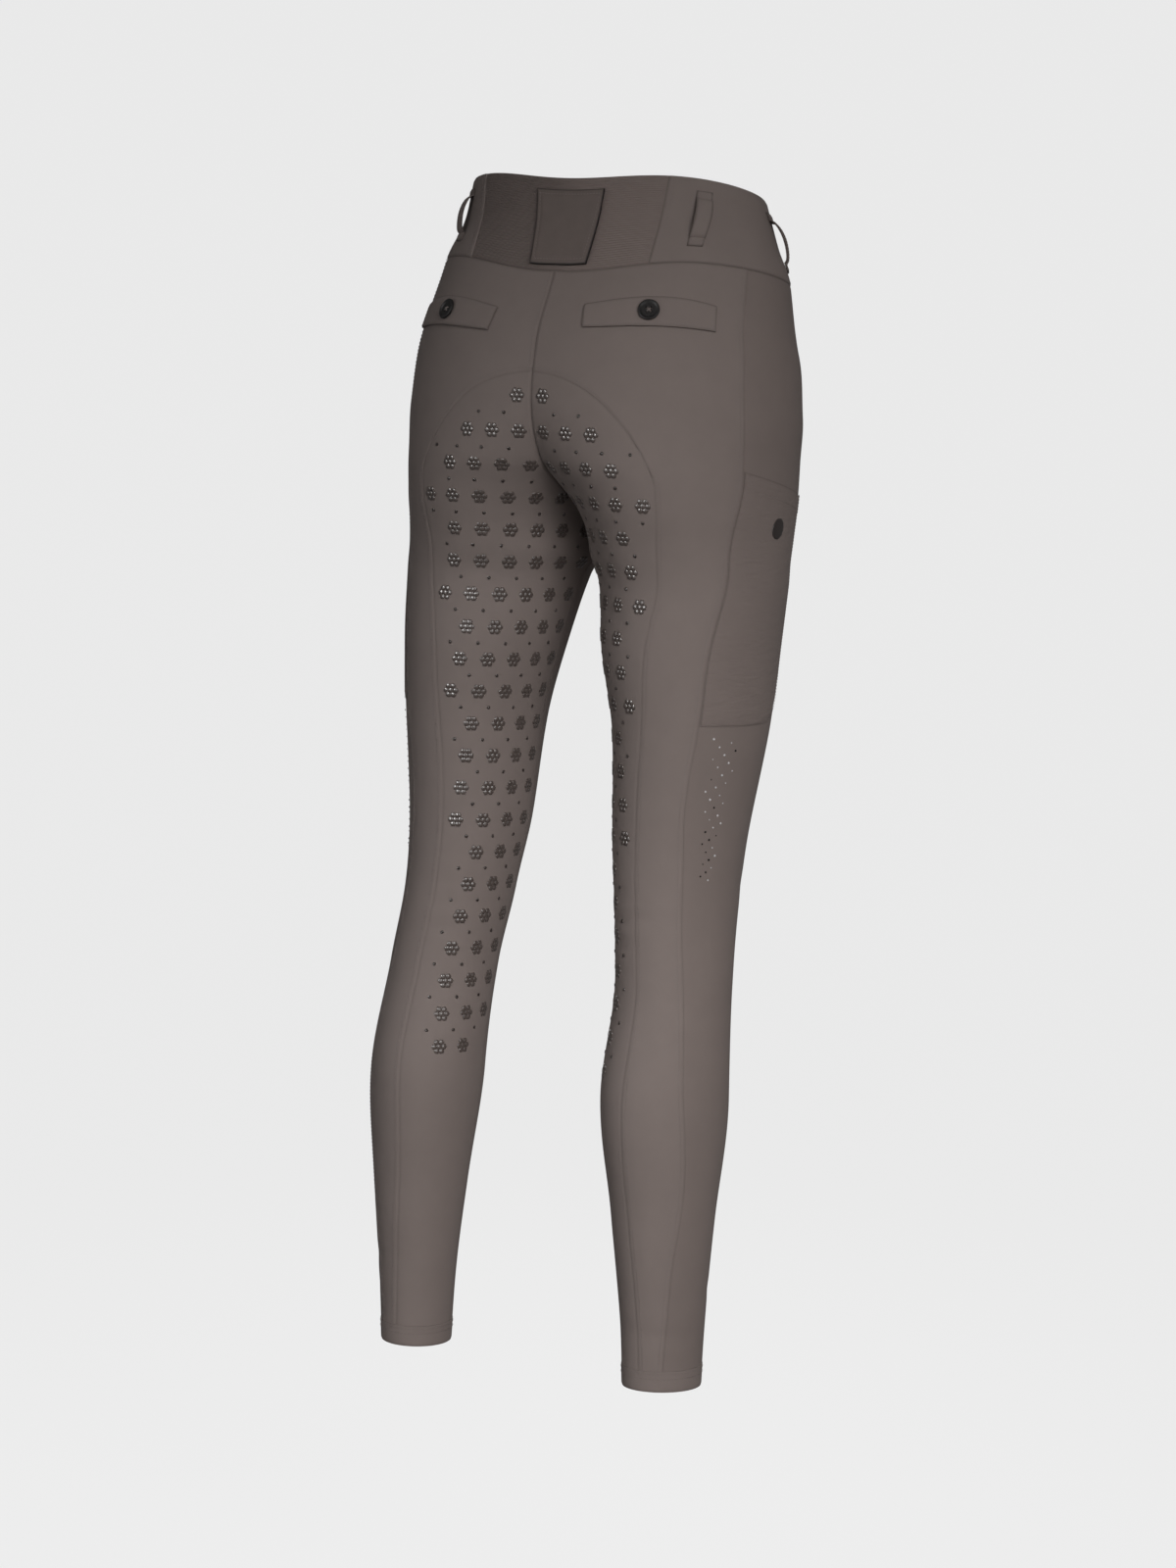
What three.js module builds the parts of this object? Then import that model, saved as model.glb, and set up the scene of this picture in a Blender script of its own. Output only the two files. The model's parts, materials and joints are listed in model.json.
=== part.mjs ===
// Riding breeches with a full seat, in millimetres, +Z up.
// The front faces -Y and the wearer's right is -X. The origin is the middle of the waist, inside the waistband.
// Each half is one surface: a section at every level, cut by the middle plane above the fork of the legs.
// A piece of cloth is a patch of that surface between its seams, given a wall.
import * as THREE from 'three';
import { mergeVertices } from 'three/addons/utils/BufferGeometryUtils.js';

// Cloth
const WALL = 1.4;
const SEAM_GAP = 0.3;
const LAID_ON = 0.5;

// Levels of the seams, as heights at the side of the body
const WAIST_TOP = 27;
const WAIST_SEAM = -39;
const ARCH_TOP = -123;
const ARCH_FOOT = -200;
const FORK = -265;
const HEM_SEAM = -928;
const HEM = -946;

// How fine each patch is
const STEPS = { waist: 4, hips: 7, seat: 5, leg: 23, hem: 2 };
const ACROSS = { front: 15, back: 4, seat: 8, band: 12, insert: 14 };
const LEG_EASE = 0.35;
const RING_SAMPLES = 160;

// Sections of one half, from the waist down. The middle and axis place the section's centre.
// Half, front and back are its half sizes. Tilt and dip raise it towards the back and lower it at the back seam.
// A groove of 1 lets the two halves fold in to the middle seam, and turn points the leg outwards.
const STATIONS = rows('name level tilt dip middle axis half front back grooveFront grooveBack turn', [
  ['waist top', WAIST_TOP, 0.23, 10.5, 0, -1, 131, 85, 81, 0, 0, 0],
  ['waist', -8, 0.2, 13, 3, -5, 137, 93, 90, 0, 0, 0],
  ['waist seam', WAIST_SEAM, 0.17, 18, 8, -3, 145, 102, 101, 0, 0.2, 0],
  ['high hip', -98, 0.07, 9, 20, 4, 145, 112, 120, 0.2, 0.6, 0],
  ['hip', -150, 0.02, 0, 36, 4, 134, 114, 127, 0.25, 0.8, 0],
  ['seat', -190, 0, 0, 59, 4, 109, 110, 124, 0.25, 1, 0],
  ['low seat', -212, 0, 0, 73, 4, 94, 105, 118, 0.35, 1, 0],
  ['under the seat', -232, 0, 0, 79.5, 5, 87, 100, 111, 0.5, 1, 0],
  ['above the fork', -249, 0, 0, 82, 6, 84, 95, 104, 0.8, 1, 0],
  ['fork', FORK, 0, 0, 83, 8, 83, 91, 97, 1, 1, 0],
  ['thigh top', -290, 0, 0, 91, 12, 76, 85, 88, 1, 1, 3],
  ['upper thigh', -348, 0, 0, 98, 21, 66, 80, 82, 1, 1, 10],
  ['thigh', -413, 0, 0, 103, 25, 58, 70, 72, 1, 1, 12],
  ['above the knee', -494, 0, 0, 101, 32, 51, 60, 61, 1, 1, 14],
  ['knee', -555, 0, 0, 104, 40, 46, 56, 56, 1, 1, 15],
  ['below the knee', -618, 0, 0, 111, 50, 45, 50, 53, 1, 1, 15],
  ['calf', -706, 0, 0, 115, 64, 47, 56, 60, 1, 1, 15],
  ['low calf', -806, 0, 0, 118, 65, 39, 45, 47, 1, 1, 15],
  ['ankle', -903, 0, 0, 120, 62, 31, 37, 38, 1, 1, 15],
  ['hem', HEM, 0.03, 0, 120, 61, 29, 36, 36, 1, 1, 15],
]);
const DIP_SPREAD = 32;

// The two seams down the back of a leg, in degrees round the section from the front
const SEAT_SEAM = rows('level angle', [
  [ARCH_FOOT, 156],
  [-217, 158],
  [-265, 164],
  [-340, 167],
  [-444, 174],
  [-560, 172],
  [-680, 171],
  [-773, 174],
  [-857, 170],
  [HEM, 165],
]);
const SIDE_SEAM = rows('level angle', [
  [WAIST_TOP, 108],
  [WAIST_SEAM, 112],
  [-132, 115],
  [-193, 115],
  [-270, 125],
  [-340, 125],
  [-458, 132],
  [-536, 126],
  [-604, 124],
  [-677, 116],
  [-770, 110],
  [-853, 122],
  [HEM, 131],
]);

// Pieces that lie on the cloth. Out is the distance round the body from the back seam, or from the front.
// As worn in the picture, the band and the flaps sit a little round to the left.
const INSERT = { L: 92.5, R: 81, flare: 4, wall: 2 };
const PATCH = { topHalf: 31, bottomHalf: 26, top: 16, bottom: -35, aside: -2.7, wall: 2.4 };
const FLAP = { slant: -0.2, lean: -2.4, arch: 4, sag: 0.9, wall: 1.5 };
const FLAP_PLACE = {
  L: { inner: 45.5, outer: 157, top: -69, bottom: -91 },
  R: { inner: 38.5, outer: 147, top: -64, bottom: -86 },
};
const BUTTON = { radius: 8.7, thickness: 3, rim: 1.6, dish: 0.9, segments: 20 };
const POCKET = { width: 104, top: -194, slant: 0.21, bottom: -400, corner: 34, seam: 1, wall: 1.3 };
const LOOP = { width: 13, thickness: 1.7, stand: 6.4, sewn: 0.14, steps: 12 };
const BACK_LOOP = { L: 125, R: 115, top: 17, bottom: -27 };
const FRONT_LOOP = { out: 166, top: 15, bottom: -28 };
const FLY = { width: 36, top: -41, bottom: -178, round: 30, wall: 1.2 };
const TAB = { right: 24, left: 42, top: 19, bottom: -33, wall: 1.4 };
const TAB_BUTTON = { out: 26, level: -7 };
const HEM_BAND = { proud: 0.7 };

const CLOTH = finish('cloth', 0x6b625e, 0.85);
const RIB = finish('rib', 0x564b48, 0.9);
const LABEL = finish('label', 0x5f5652, 0.7);
const HORN = finish('horn', 0x1d1a1a, 0.4);

function rows(heads, table) {
  const names = heads.split(' ');
  return table.map((row) => Object.fromEntries(names.map((name, k) => [name, row[k]])));
}

function finish(name, color, roughness) {
  const material = new THREE.MeshStandardMaterial({ color, roughness, metalness: 0 });
  material.name = name;
  return material;
}

// A smooth curve through a table's points that never swings past them
function smooth(table, column) {
  const points = [...table].sort((a, b) => a.level - b.level);
  const xs = points.map((p) => p.level);
  const ys = points.map((p) => p[column]);
  const slopes = xs.slice(1).map((x, k) => (ys[k + 1] - ys[k]) / (x - xs[k]));
  const tangents = xs.map((x, k) => {
    if (k === 0) return slopes[0];
    if (k === xs.length - 1) return slopes[k - 1];
    if (slopes[k - 1] * slopes[k] <= 0) return 0;
    const before = x - xs[k - 1];
    const after = xs[k + 1] - x;
    const w1 = 2 * after + before;
    const w2 = after + 2 * before;
    return (w1 + w2) / (w1 / slopes[k - 1] + w2 / slopes[k]);
  });
  return (level) => {
    const x = THREE.MathUtils.clamp(level, xs[0], xs[xs.length - 1]);
    let k = 0;
    while (k < xs.length - 2 && x > xs[k + 1]) k += 1;
    const h = xs[k + 1] - xs[k];
    const t = (x - xs[k]) / h;
    const rest = 1 - t;
    return rest * rest * ((1 + 2 * t) * ys[k] + t * h * tangents[k])
      + t * t * ((3 - 2 * t) * ys[k + 1] - rest * h * tangents[k + 1]);
  };
}

const SIZES = Object.keys(STATIONS[0]).filter((name) => name !== 'name' && name !== 'level');
const CURVES = SIZES.map((name) => [name, smooth(STATIONS, name)]);
const seatSeam = smooth(SEAT_SEAM, 'angle');
const sideSeam = smooth(SIDE_SEAM, 'angle');

function sizesAt(level) {
  return Object.fromEntries(CURVES.map(([name, curve]) => [name, curve(level)]));
}

// How far the section runs past straight ahead before it meets the middle plane, or 90 on a leg
function overhang(size) {
  return THREE.MathUtils.radToDeg(Math.asin(Math.min(1, size.middle / size.half)));
}

// The point of the left half at a level and an angle round from the front
function onBody(level, angle) {
  const size = sizesAt(level);
  const sine = Math.sin(THREE.MathUtils.degToRad(angle));
  const cosine = Math.cos(THREE.MathUtils.degToRad(angle));
  const groove = cosine > 0 ? size.grooveFront : size.grooveBack;
  const inward = Math.sign(cosine) * (1 - groove * (1 - Math.abs(cosine)));
  const reach = sine < 0 ? inward : cosine;
  const across = size.half * sine;
  const along = -reach * (cosine > 0 ? size.front : size.back);
  const turn = THREE.MathUtils.degToRad(size.turn);
  const x = size.middle + across * Math.cos(turn) - along * Math.sin(turn);
  const y = across * Math.sin(turn) + along * Math.cos(turn);
  const dip = size.dip * Math.exp(-(((180 - angle) / DIP_SPREAD) ** 2));
  return new THREE.Vector3(x, size.axis + y, level + size.tilt * y - dip);
}

function outward(level, angle) {
  const near = THREE.MathUtils.clamp(level, HEM + 1, WAIST_TOP - 1);
  const round = onBody(near, angle + 0.5).sub(onBody(near, angle - 0.5));
  const up = onBody(near + 1, angle).sub(onBody(near - 1, angle));
  return round.cross(up).normalize();
}

// One section, measured along its girth
class Ring {
  constructor(level) {
    const over = overhang(sizesAt(level));
    this.angles = span(-over, 180 + over, RING_SAMPLES);
    const points = this.angles.map((angle) => onBody(level, angle));
    this.arcs = [0];
    points.slice(1).forEach((point, k) => this.arcs.push(this.arcs[k] + point.distanceTo(points[k])));
    this.girth = this.arcs[RING_SAMPLES];
  }

  between(from, to, value) {
    const at = THREE.MathUtils.clamp(value, from[0], from[RING_SAMPLES]);
    let k = 0;
    while (k < RING_SAMPLES - 1 && at > from[k + 1]) k += 1;
    return to[k] + ((to[k + 1] - to[k]) * (at - from[k])) / (from[k + 1] - from[k]);
  }

  arcAt(angle) {
    return this.between(this.angles, this.arcs, angle);
  }

  angleAt(arc) {
    return this.between(this.arcs, this.angles, arc);
  }
}

const RINGS = new Map();

function ringAt(level) {
  if (!RINGS.has(level)) RINGS.set(level, new Ring(level));
  return RINGS.get(level);
}

function span(from, to, steps) {
  return Array.from({ length: steps + 1 }, (_, k) => from + ((to - from) * k) / steps);
}

// A corner of the cloth: its place round the girth of a level, and its lowest and highest lift off the body
function corner(level, arc, low = -WALL, high = 0) {
  return { level, arc, low, high };
}

// The cloth's two faces at a corner. Side is 1 on the left and -1 on the right.
function faces(side, { level, arc, low, high }, apart = SEAM_GAP / 2) {
  const angle = ringAt(level).angleAt(arc);
  const point = onBody(level, angle);
  const normal = outward(level, angle);
  return [high, low].map((lift) => {
    const at = point.clone().addScaledVector(normal, lift);
    return new THREE.Vector3(side * (at.x + apart), at.y, at.z);
  });
}

// A closed piece of cloth from grids of corners whose rows run down and whose columns run to the back
function cloth(grids, place, flipped) {
  const outer = [];
  const inner = [];
  const known = new Map();
  const index = (spot) => {
    const [high, low] = place(spot);
    const key = high.toArray().map((v) => v.toFixed(3)).join();
    if (!known.has(key)) {
      known.set(key, outer.length);
      outer.push(high);
      inner.push(low);
    }
    return known.get(key);
  };
  const skin = grids.flatMap((grid) => quads(grid.map((row) => row.map(index)), flipped));
  return closed(outer, inner, skin);
}

function quads(grid, flipped) {
  const found = [];
  grid.slice(1).forEach((below, j) => {
    below.slice(1).forEach((_, i) => {
      const [a, b, c, d] = [grid[j][i], below[i], below[i + 1], grid[j][i + 1]];
      found.push(flipped ? [a, d, c, b] : [a, b, c, d]);
    });
  });
  return found;
}

// Both faces of a patch and the rims that join them
function closed(outer, inner, skin) {
  const count = outer.length;
  const open = new Map();
  skin.forEach((quad) => quad.forEach((from, k) => {
    const to = quad[(k + 1) % quad.length];
    if (open.has(`${to},${from}`)) open.delete(`${to},${from}`);
    else open.set(`${from},${to}`, [from, to]);
  }));
  const back = skin.map((quad) => [...quad].reverse().map((k) => k + count));
  const rims = [...open.values()].map(([a, b]) => [b, a, a + count, b + count]);
  return solid([...outer, ...inner], [...skin, ...back, ...rims]);
}

function solid(points, polygons) {
  const geometry = new THREE.BufferGeometry();
  geometry.setAttribute('position', new THREE.Float32BufferAttribute(points.flatMap((p) => p.toArray()), 3));
  geometry.setIndex(polygons.flatMap((p) => p.slice(2).flatMap((_, k) => [p[0], p[k + 1], p[k + 2]])));
  geometry.computeVertexNormals();
  return geometry;
}

// Levels of the rows of the main panels
function legLevels() {
  const length = FORK - (HEM_SEAM + SEAM_GAP / 2);
  return span(0, 1, STEPS.leg).map((t) => FORK - length * (LEG_EASE * t + (1 - LEG_EASE) * t * t));
}

function hipLevels() {
  return span(WAIST_SEAM - SEAM_GAP / 2, ARCH_FOOT, STEPS.hips);
}

function sideLevels() {
  return [...hipLevels(), ...span(ARCH_FOOT, FORK, STEPS.seat).slice(1), ...legLevels().slice(1)];
}

// The middle seam's own gap is the space between the halves, so only the inseam takes one from its edges
function inseamGap(level) {
  return level <= FORK ? SEAM_GAP / 2 : 0;
}

function rowBetween(level, from, to, steps) {
  return span(from, to, steps).map((arc) => corner(level, arc));
}

function frontPanel() {
  return [sideLevels().map((level) => {
    const side = ringAt(level).arcAt(sideSeam(level)) - SEAM_GAP / 2;
    return rowBetween(level, inseamGap(level), side, ACROSS.front);
  })];
}

function seatEdge(level, shift) {
  const foot = Math.min(level, ARCH_FOOT);
  return ringAt(level).arcAt(seatSeam(foot)) + shift;
}

// The arch over the seat, from its foot at 0 to its top in the middle at 1
function archLevel(part, shift) {
  const rise = Math.sqrt(1 - (1 - part) ** 2);
  return ARCH_FOOT + (ARCH_TOP - ARCH_FOOT) * rise + shift;
}

// The outer back runs the whole leg beside the side seam, and over the arch to the middle
function backPanel() {
  const strip = sideLevels().map((level) => {
    const from = ringAt(level).arcAt(sideSeam(level)) + SEAM_GAP / 2;
    return rowBetween(level, from, seatEdge(level, -SEAM_GAP / 2), ACROSS.back);
  });
  const above = span(0, 1, STEPS.hips).map((down) => span(0, 1, ACROSS.seat).map((part) => {
    const top = WAIST_SEAM - SEAM_GAP / 2;
    const level = top + (archLevel(part, part > 0 ? SEAM_GAP / 2 : 0) - top) * down;
    const from = seatEdge(level, -SEAM_GAP / 2);
    return corner(level, from + (ringAt(level).girth - from) * part);
  }));
  return [strip, above];
}

function seatPanel() {
  const seat = span(0, 1, STEPS.seat).map((down) => span(0, 1, ACROSS.seat).map((part) => {
    const top = archLevel(part, part > 0 ? -SEAM_GAP / 2 : 0);
    return seatCorner(top + (FORK - top) * down, part);
  }));
  const leg = legLevels().slice(1).map((level) => span(0, 1, ACROSS.seat).map((part) => seatCorner(level, part)));
  return [[...seat, ...leg]];
}

function seatCorner(level, part) {
  const from = seatEdge(level, SEAM_GAP / 2);
  const to = ringAt(level).girth - inseamGap(level);
  return corner(level, from + (to - from) * part);
}

// How far the insert reaches from the back seam, a little further at the top
function insertReach(letter, level) {
  const up = (level - WAIST_SEAM) / (WAIST_TOP - WAIST_SEAM);
  return INSERT[letter] + INSERT.flare * up ** 2;
}

// The waistband beside the insert, round to the middle of the front
function bandSide(letter) {
  return [span(WAIST_TOP, WAIST_SEAM + SEAM_GAP / 2, STEPS.waist).map((level) => {
    const to = ringAt(level).girth - insertReach(letter, level) - SEAM_GAP / 2;
    return rowBetween(level, 0, to, ACROSS.band);
  })];
}

function hemBand() {
  return [span(HEM_SEAM - SEAM_GAP / 2, HEM, STEPS.hem).map((level) => {
    const steps = ACROSS.front + ACROSS.back + ACROSS.seat;
    return span(0, ringAt(level).girth, steps).map((arc) => corner(level, arc, -WALL, HEM_BAND.proud));
  })];
}

// A patch pocket with its back edge in the side seam, a slanted mouth and one rounded corner
function thighPocket() {
  return [span(0, 1, 12).map((down) => span(0, 1, 12).map((part) => {
    const ahead = POCKET.seam + (POCKET.width - POCKET.seam) * (1 - part);
    const mouth = POCKET.top - POCKET.slant * ahead;
    const inCorner = Math.max(0, ahead - (POCKET.width - POCKET.corner)) / POCKET.corner;
    const foot = POCKET.bottom + POCKET.corner * (1 - Math.sqrt(1 - inCorner ** 2));
    const level = mouth + (foot - mouth) * down;
    const arc = ringAt(level).arcAt(sideSeam(level)) - ahead;
    return corner(level, arc, LAID_ON, LAID_ON + POCKET.wall);
  }))];
}

// A flap with an arched top edge. Its ends lean in towards the top.
function pocketFlap(place) {
  const middle = (place.inner + place.outer) / 2;
  const reach = (place.outer - place.inner) / 2;
  return [span(0, 1, 2).map((down) => span(1, -1, 9).map((off) => {
    const top = place.top + FLAP.lean * off - FLAP.arch * off ** 2;
    const foot = place.bottom + FLAP.lean * off - FLAP.sag * off ** 2;
    const level = top + (foot - top) * down;
    const out = middle + reach * off + FLAP.slant * (level - (place.top + place.bottom) / 2);
    return corner(level, ringAt(level).girth - out, LAID_ON, LAID_ON + FLAP.wall);
  }))];
}

// A strap sewn flat at both ends and standing off the band between them
function beltLoop({ top, bottom }, arcOf) {
  return [span(0, 1, LOOP.steps).map((down) => {
    const free = THREE.MathUtils.clamp((down - LOOP.sewn) / (1 - 2 * LOOP.sewn), 0, 1);
    const low = LAID_ON + LOOP.stand * Math.sin(Math.PI * free) ** 0.5;
    const level = top + (bottom - top) * down;
    return span(-LOOP.width / 2, LOOP.width / 2, 2).map((off) => (
      corner(level, arcOf(level) + off, low, low + LOOP.thickness)));
  })];
}

// Pieces that cross the middle have signed places: negative is the wearer's right
function acrossBack(spot) {
  const arc = ringAt(spot.level).girth - Math.abs(spot.arc);
  return faces(spot.arc < 0 ? -1 : 1, { ...spot, arc }, 0);
}

function acrossFront(spot) {
  return faces(spot.arc < 0 ? -1 : 1, { ...spot, arc: Math.abs(spot.arc) }, 0);
}

function insert() {
  return [span(WAIST_TOP, WAIST_SEAM + SEAM_GAP / 2, STEPS.waist).map((level) => {
    const left = insertReach('L', level) - SEAM_GAP / 2;
    const right = SEAM_GAP / 2 - insertReach('R', level);
    return span(left, right, ACROSS.insert).map((arc) => corner(level, arc, -INSERT.wall, 0));
  })];
}

function backPatch() {
  return [span(0, 1, 4).map((down) => {
    const half = PATCH.topHalf + (PATCH.bottomHalf - PATCH.topHalf) * down;
    const level = PATCH.top + (PATCH.bottom - PATCH.top) * down;
    const arcs = span(PATCH.aside + half, PATCH.aside - half, 6);
    return arcs.map((arc) => corner(level, arc, LAID_ON, LAID_ON + PATCH.wall));
  })];
}

function flyFlap() {
  return [span(0, 1, 14).map((down) => span(0, FLY.width, 5).map((out) => {
    const foot = FLY.bottom + FLY.round * (1 - Math.sqrt(1 - (out / FLY.width) ** 2));
    const level = FLY.top + (foot - FLY.top) * down;
    return corner(level, out, LAID_ON, LAID_ON + FLY.wall);
  }))];
}

function waistTab() {
  return [span(TAB.top, TAB.bottom, 3).map((level) => (
    span(-TAB.right, TAB.left, 6).map((arc) => corner(level, arc, LAID_ON, LAID_ON + TAB.wall))))];
}

function buttonShape() {
  const { radius, thickness, rim, dish, segments } = BUTTON;
  const profile = [
    [0, 0],
    [radius - 1, 0],
    [radius, 1],
    [radius, thickness - 0.8],
    [radius - 0.8, thickness],
    [radius - rim, thickness],
    [radius - rim - 1, thickness - dish],
    [0, thickness - dish],
  ].map(([x, y]) => new THREE.Vector2(x, y));
  return new THREE.LatheGeometry(profile, segments).rotateX(Math.PI / 2);
}

// A button sits on the cloth with its back to the body
function button(name, side, level, arc, lift) {
  const [top, below] = faces(side, corner(level, arc, lift, lift + 1));
  const mesh = new THREE.Mesh(welded(buttonShape()), HORN);
  mesh.name = name;
  mesh.position.copy(below);
  mesh.quaternion.setFromUnitVectors(new THREE.Vector3(0, 0, 1), top.clone().sub(below).normalize());
  return mesh;
}

function welded(geometry) {
  geometry.deleteAttribute('normal');
  geometry.deleteAttribute('uv');
  const merged = mergeVertices(geometry, 1e-3);
  merged.computeVertexNormals();
  return merged;
}

function piece(name, geometry, material) {
  const mesh = new THREE.Mesh(geometry, material);
  mesh.name = name;
  return mesh;
}

function halfPiece(name, side, grids, material = CLOTH) {
  const label = `${name}_${side > 0 ? 'L' : 'R'}`;
  return piece(label, cloth(grids, (spot) => faces(side, spot), side < 0), material);
}

function half(side) {
  const letter = side > 0 ? 'L' : 'R';
  const place = FLAP_PLACE[letter];
  const flapLevel = (place.top + place.bottom) / 2;
  const flapMiddle = ringAt(flapLevel).girth - (place.inner + place.outer) / 2;
  const group = new THREE.Group();
  group.add(
    halfPiece('front', side, frontPanel()),
    halfPiece('back', side, backPanel()),
    halfPiece('seat', side, seatPanel()),
    halfPiece('hem', side, hemBand()),
    halfPiece('waistband_side', side, bandSide(letter)),
    halfPiece('thigh_pocket', side, thighPocket()),
    halfPiece('pocket_flap', side, pocketFlap(place)),
    halfPiece('belt_loop_back', side, beltLoop(BACK_LOOP, (level) => ringAt(level).girth - BACK_LOOP[letter])),
    halfPiece('belt_loop_front', side, beltLoop(FRONT_LOOP, () => FRONT_LOOP.out)),
    button(`pocket_button_${letter}`, side, flapLevel, flapMiddle, 2 * LAID_ON + FLAP.wall),
  );
  return group;
}

const breeches = new THREE.Group();
breeches.name = 'riding_breeches';
breeches.add(
  half(1),
  half(-1),
  piece('waistband_back', cloth(insert(), acrossBack, false), RIB),
  piece('back_patch', cloth(backPatch(), acrossBack, false), LABEL),
  halfPiece('fly_flap', -1, flyFlap()),
  piece('waist_tab', cloth(waistTab(), acrossFront, false), CLOTH),
  button('waist_button', 1, TAB_BUTTON.level, TAB_BUTTON.out, 2 * LAID_ON + TAB.wall),
);

export default breeches;
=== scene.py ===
"""Full-seat riding breeches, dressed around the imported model. Tables hold millimetres and degrees."""

import json
import logging
import math
from dataclasses import dataclass, field, replace
from enum import Enum
from typing import Callable, NamedTuple, Sequence

import bpy
import numpy as np
from mathutils import Matrix, Vector, kdtree

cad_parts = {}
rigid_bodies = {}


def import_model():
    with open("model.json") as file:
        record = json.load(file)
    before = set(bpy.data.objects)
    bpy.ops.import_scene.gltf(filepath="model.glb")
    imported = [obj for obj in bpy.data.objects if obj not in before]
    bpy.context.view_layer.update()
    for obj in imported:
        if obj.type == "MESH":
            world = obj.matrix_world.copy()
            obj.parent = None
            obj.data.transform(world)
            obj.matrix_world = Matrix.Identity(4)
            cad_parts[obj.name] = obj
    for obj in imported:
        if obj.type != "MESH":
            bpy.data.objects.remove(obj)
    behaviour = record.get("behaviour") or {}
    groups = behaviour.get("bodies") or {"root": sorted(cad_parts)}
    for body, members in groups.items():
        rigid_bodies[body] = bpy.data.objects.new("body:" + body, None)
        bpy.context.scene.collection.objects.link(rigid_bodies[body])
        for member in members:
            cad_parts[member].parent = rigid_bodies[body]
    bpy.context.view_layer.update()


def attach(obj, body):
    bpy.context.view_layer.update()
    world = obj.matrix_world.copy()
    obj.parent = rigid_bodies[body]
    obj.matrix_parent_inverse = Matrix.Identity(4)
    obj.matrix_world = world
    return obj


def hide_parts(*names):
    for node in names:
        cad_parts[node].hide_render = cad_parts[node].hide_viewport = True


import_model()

MM = 0.001
BODY = "root"

# Levels of the seams, as heights at the side of the body
WAIST_TOP = 27.0
WAIST_SEAM = -39.0
ARCH_TOP = -123.0
ARCH_FOOT = -200.0
FORK = -265.0
HEM_SEAM = -928.0
HEM = -946.0

WALL = 1.4
LAID_ON = 0.5
SEAM_GAP = 0.1
HALVES_APART = 0.02

Numbers = float | np.ndarray
Point = tuple[float, float, float]
Face = tuple[int, ...]
Colour = tuple[float, float, float, float]
Socket = bpy.types.NodeSocket

log = logging.getLogger("breeches")


class Side(Enum):
    """The wearer's left and right. The value is the sign of X."""

    L = 1
    R = -1


class Section(NamedTuple):
    """Sizes of one half at one level. The middle and axis place its centre."""

    level: float
    tilt: float
    dip: float
    middle: float
    axis: float
    half: float
    front: float
    back: float
    groove_front: float
    groove_back: float
    hollow: float
    turn: float


SECTIONS = (
    Section(WAIST_TOP, 0.23, 10.5, 0, -1, 131, 85, 81, 0, 0, 0, 0),
    Section(-8, 0.2, 13, 3, -5, 137, 93, 90, 0, 0, 0, 0),
    Section(WAIST_SEAM, 0.17, 18, 8, -3, 145, 102, 101, 0, 0.2, 0, 0),
    Section(-98, 0.07, 9, 20, 4, 145, 112, 120, 0.2, 0.6, 0, 0),
    Section(-150, 0.02, 0, 36, 4, 134, 114, 127, 0.25, 0.8, 0, 0),
    Section(-190, 0, 0, 59, 4, 109, 110, 124, 0.25, 1, 0, 0),
    Section(-212, 0, 0, 73, 4, 94, 105, 118, 0.35, 1, 0.08, 0),
    Section(-232, 0, 0, 79.5, 5, 87, 100, 111, 0.5, 1, 0.3, 0),
    Section(-249, 0, 0, 82, 6, 84, 95, 104, 0.8, 1, 0.45, 0),
    Section(FORK, 0, 0, 83, 8, 83, 91, 97, 1, 1, 0.5, 0),
    Section(-290, 0, 0, 91, 12, 76, 85, 88, 1, 1, 0.25, 3),
    Section(-348, 0, 0, 98, 21, 66, 80, 82, 1, 1, 0, 10),
    Section(-413, 0, 0, 103, 25, 58, 70, 72, 1, 1, 0, 12),
    Section(-494, 0, 0, 101, 32, 51, 60, 61, 1, 1, 0, 14),
    Section(-555, 0, 0, 104, 40, 46, 56, 56, 1, 1, 0, 15),
    Section(-618, 0, 0, 111, 50, 45, 50, 53, 1, 1, 0, 15),
    Section(-706, 0, 0, 115, 64, 47, 56, 60, 1, 1, 0, 15),
    Section(-806, 0, 0, 118, 65, 39, 45, 47, 1, 1, 0, 15),
    Section(-903, 0, 0, 120, 62, 31, 37, 38, 1, 1, 0, 15),
    Section(HEM, 0.03, 0, 120, 61, 29, 36, 36, 1, 1, 0, 15),
)
DIP_SPREAD = 32.0

# The two long seams of a leg: level, and degrees round the section from the front
SEAT_SEAM = (
    (ARCH_FOOT, 156),
    (-217, 158),
    (FORK, 164),
    (-340, 167),
    (-444, 174),
    (-560, 172),
    (-680, 171),
    (-773, 174),
    (-857, 170),
    (HEM, 165),
)
SIDE_SEAM = (
    (WAIST_TOP, 108),
    (WAIST_SEAM, 112),
    (-132, 115),
    (-193, 115),
    (-270, 125),
    (-340, 125),
    (-458, 132),
    (-536, 126),
    (-604, 124),
    (-677, 116),
    (-770, 110),
    (-853, 122),
    (HEM, 131),
)


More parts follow.
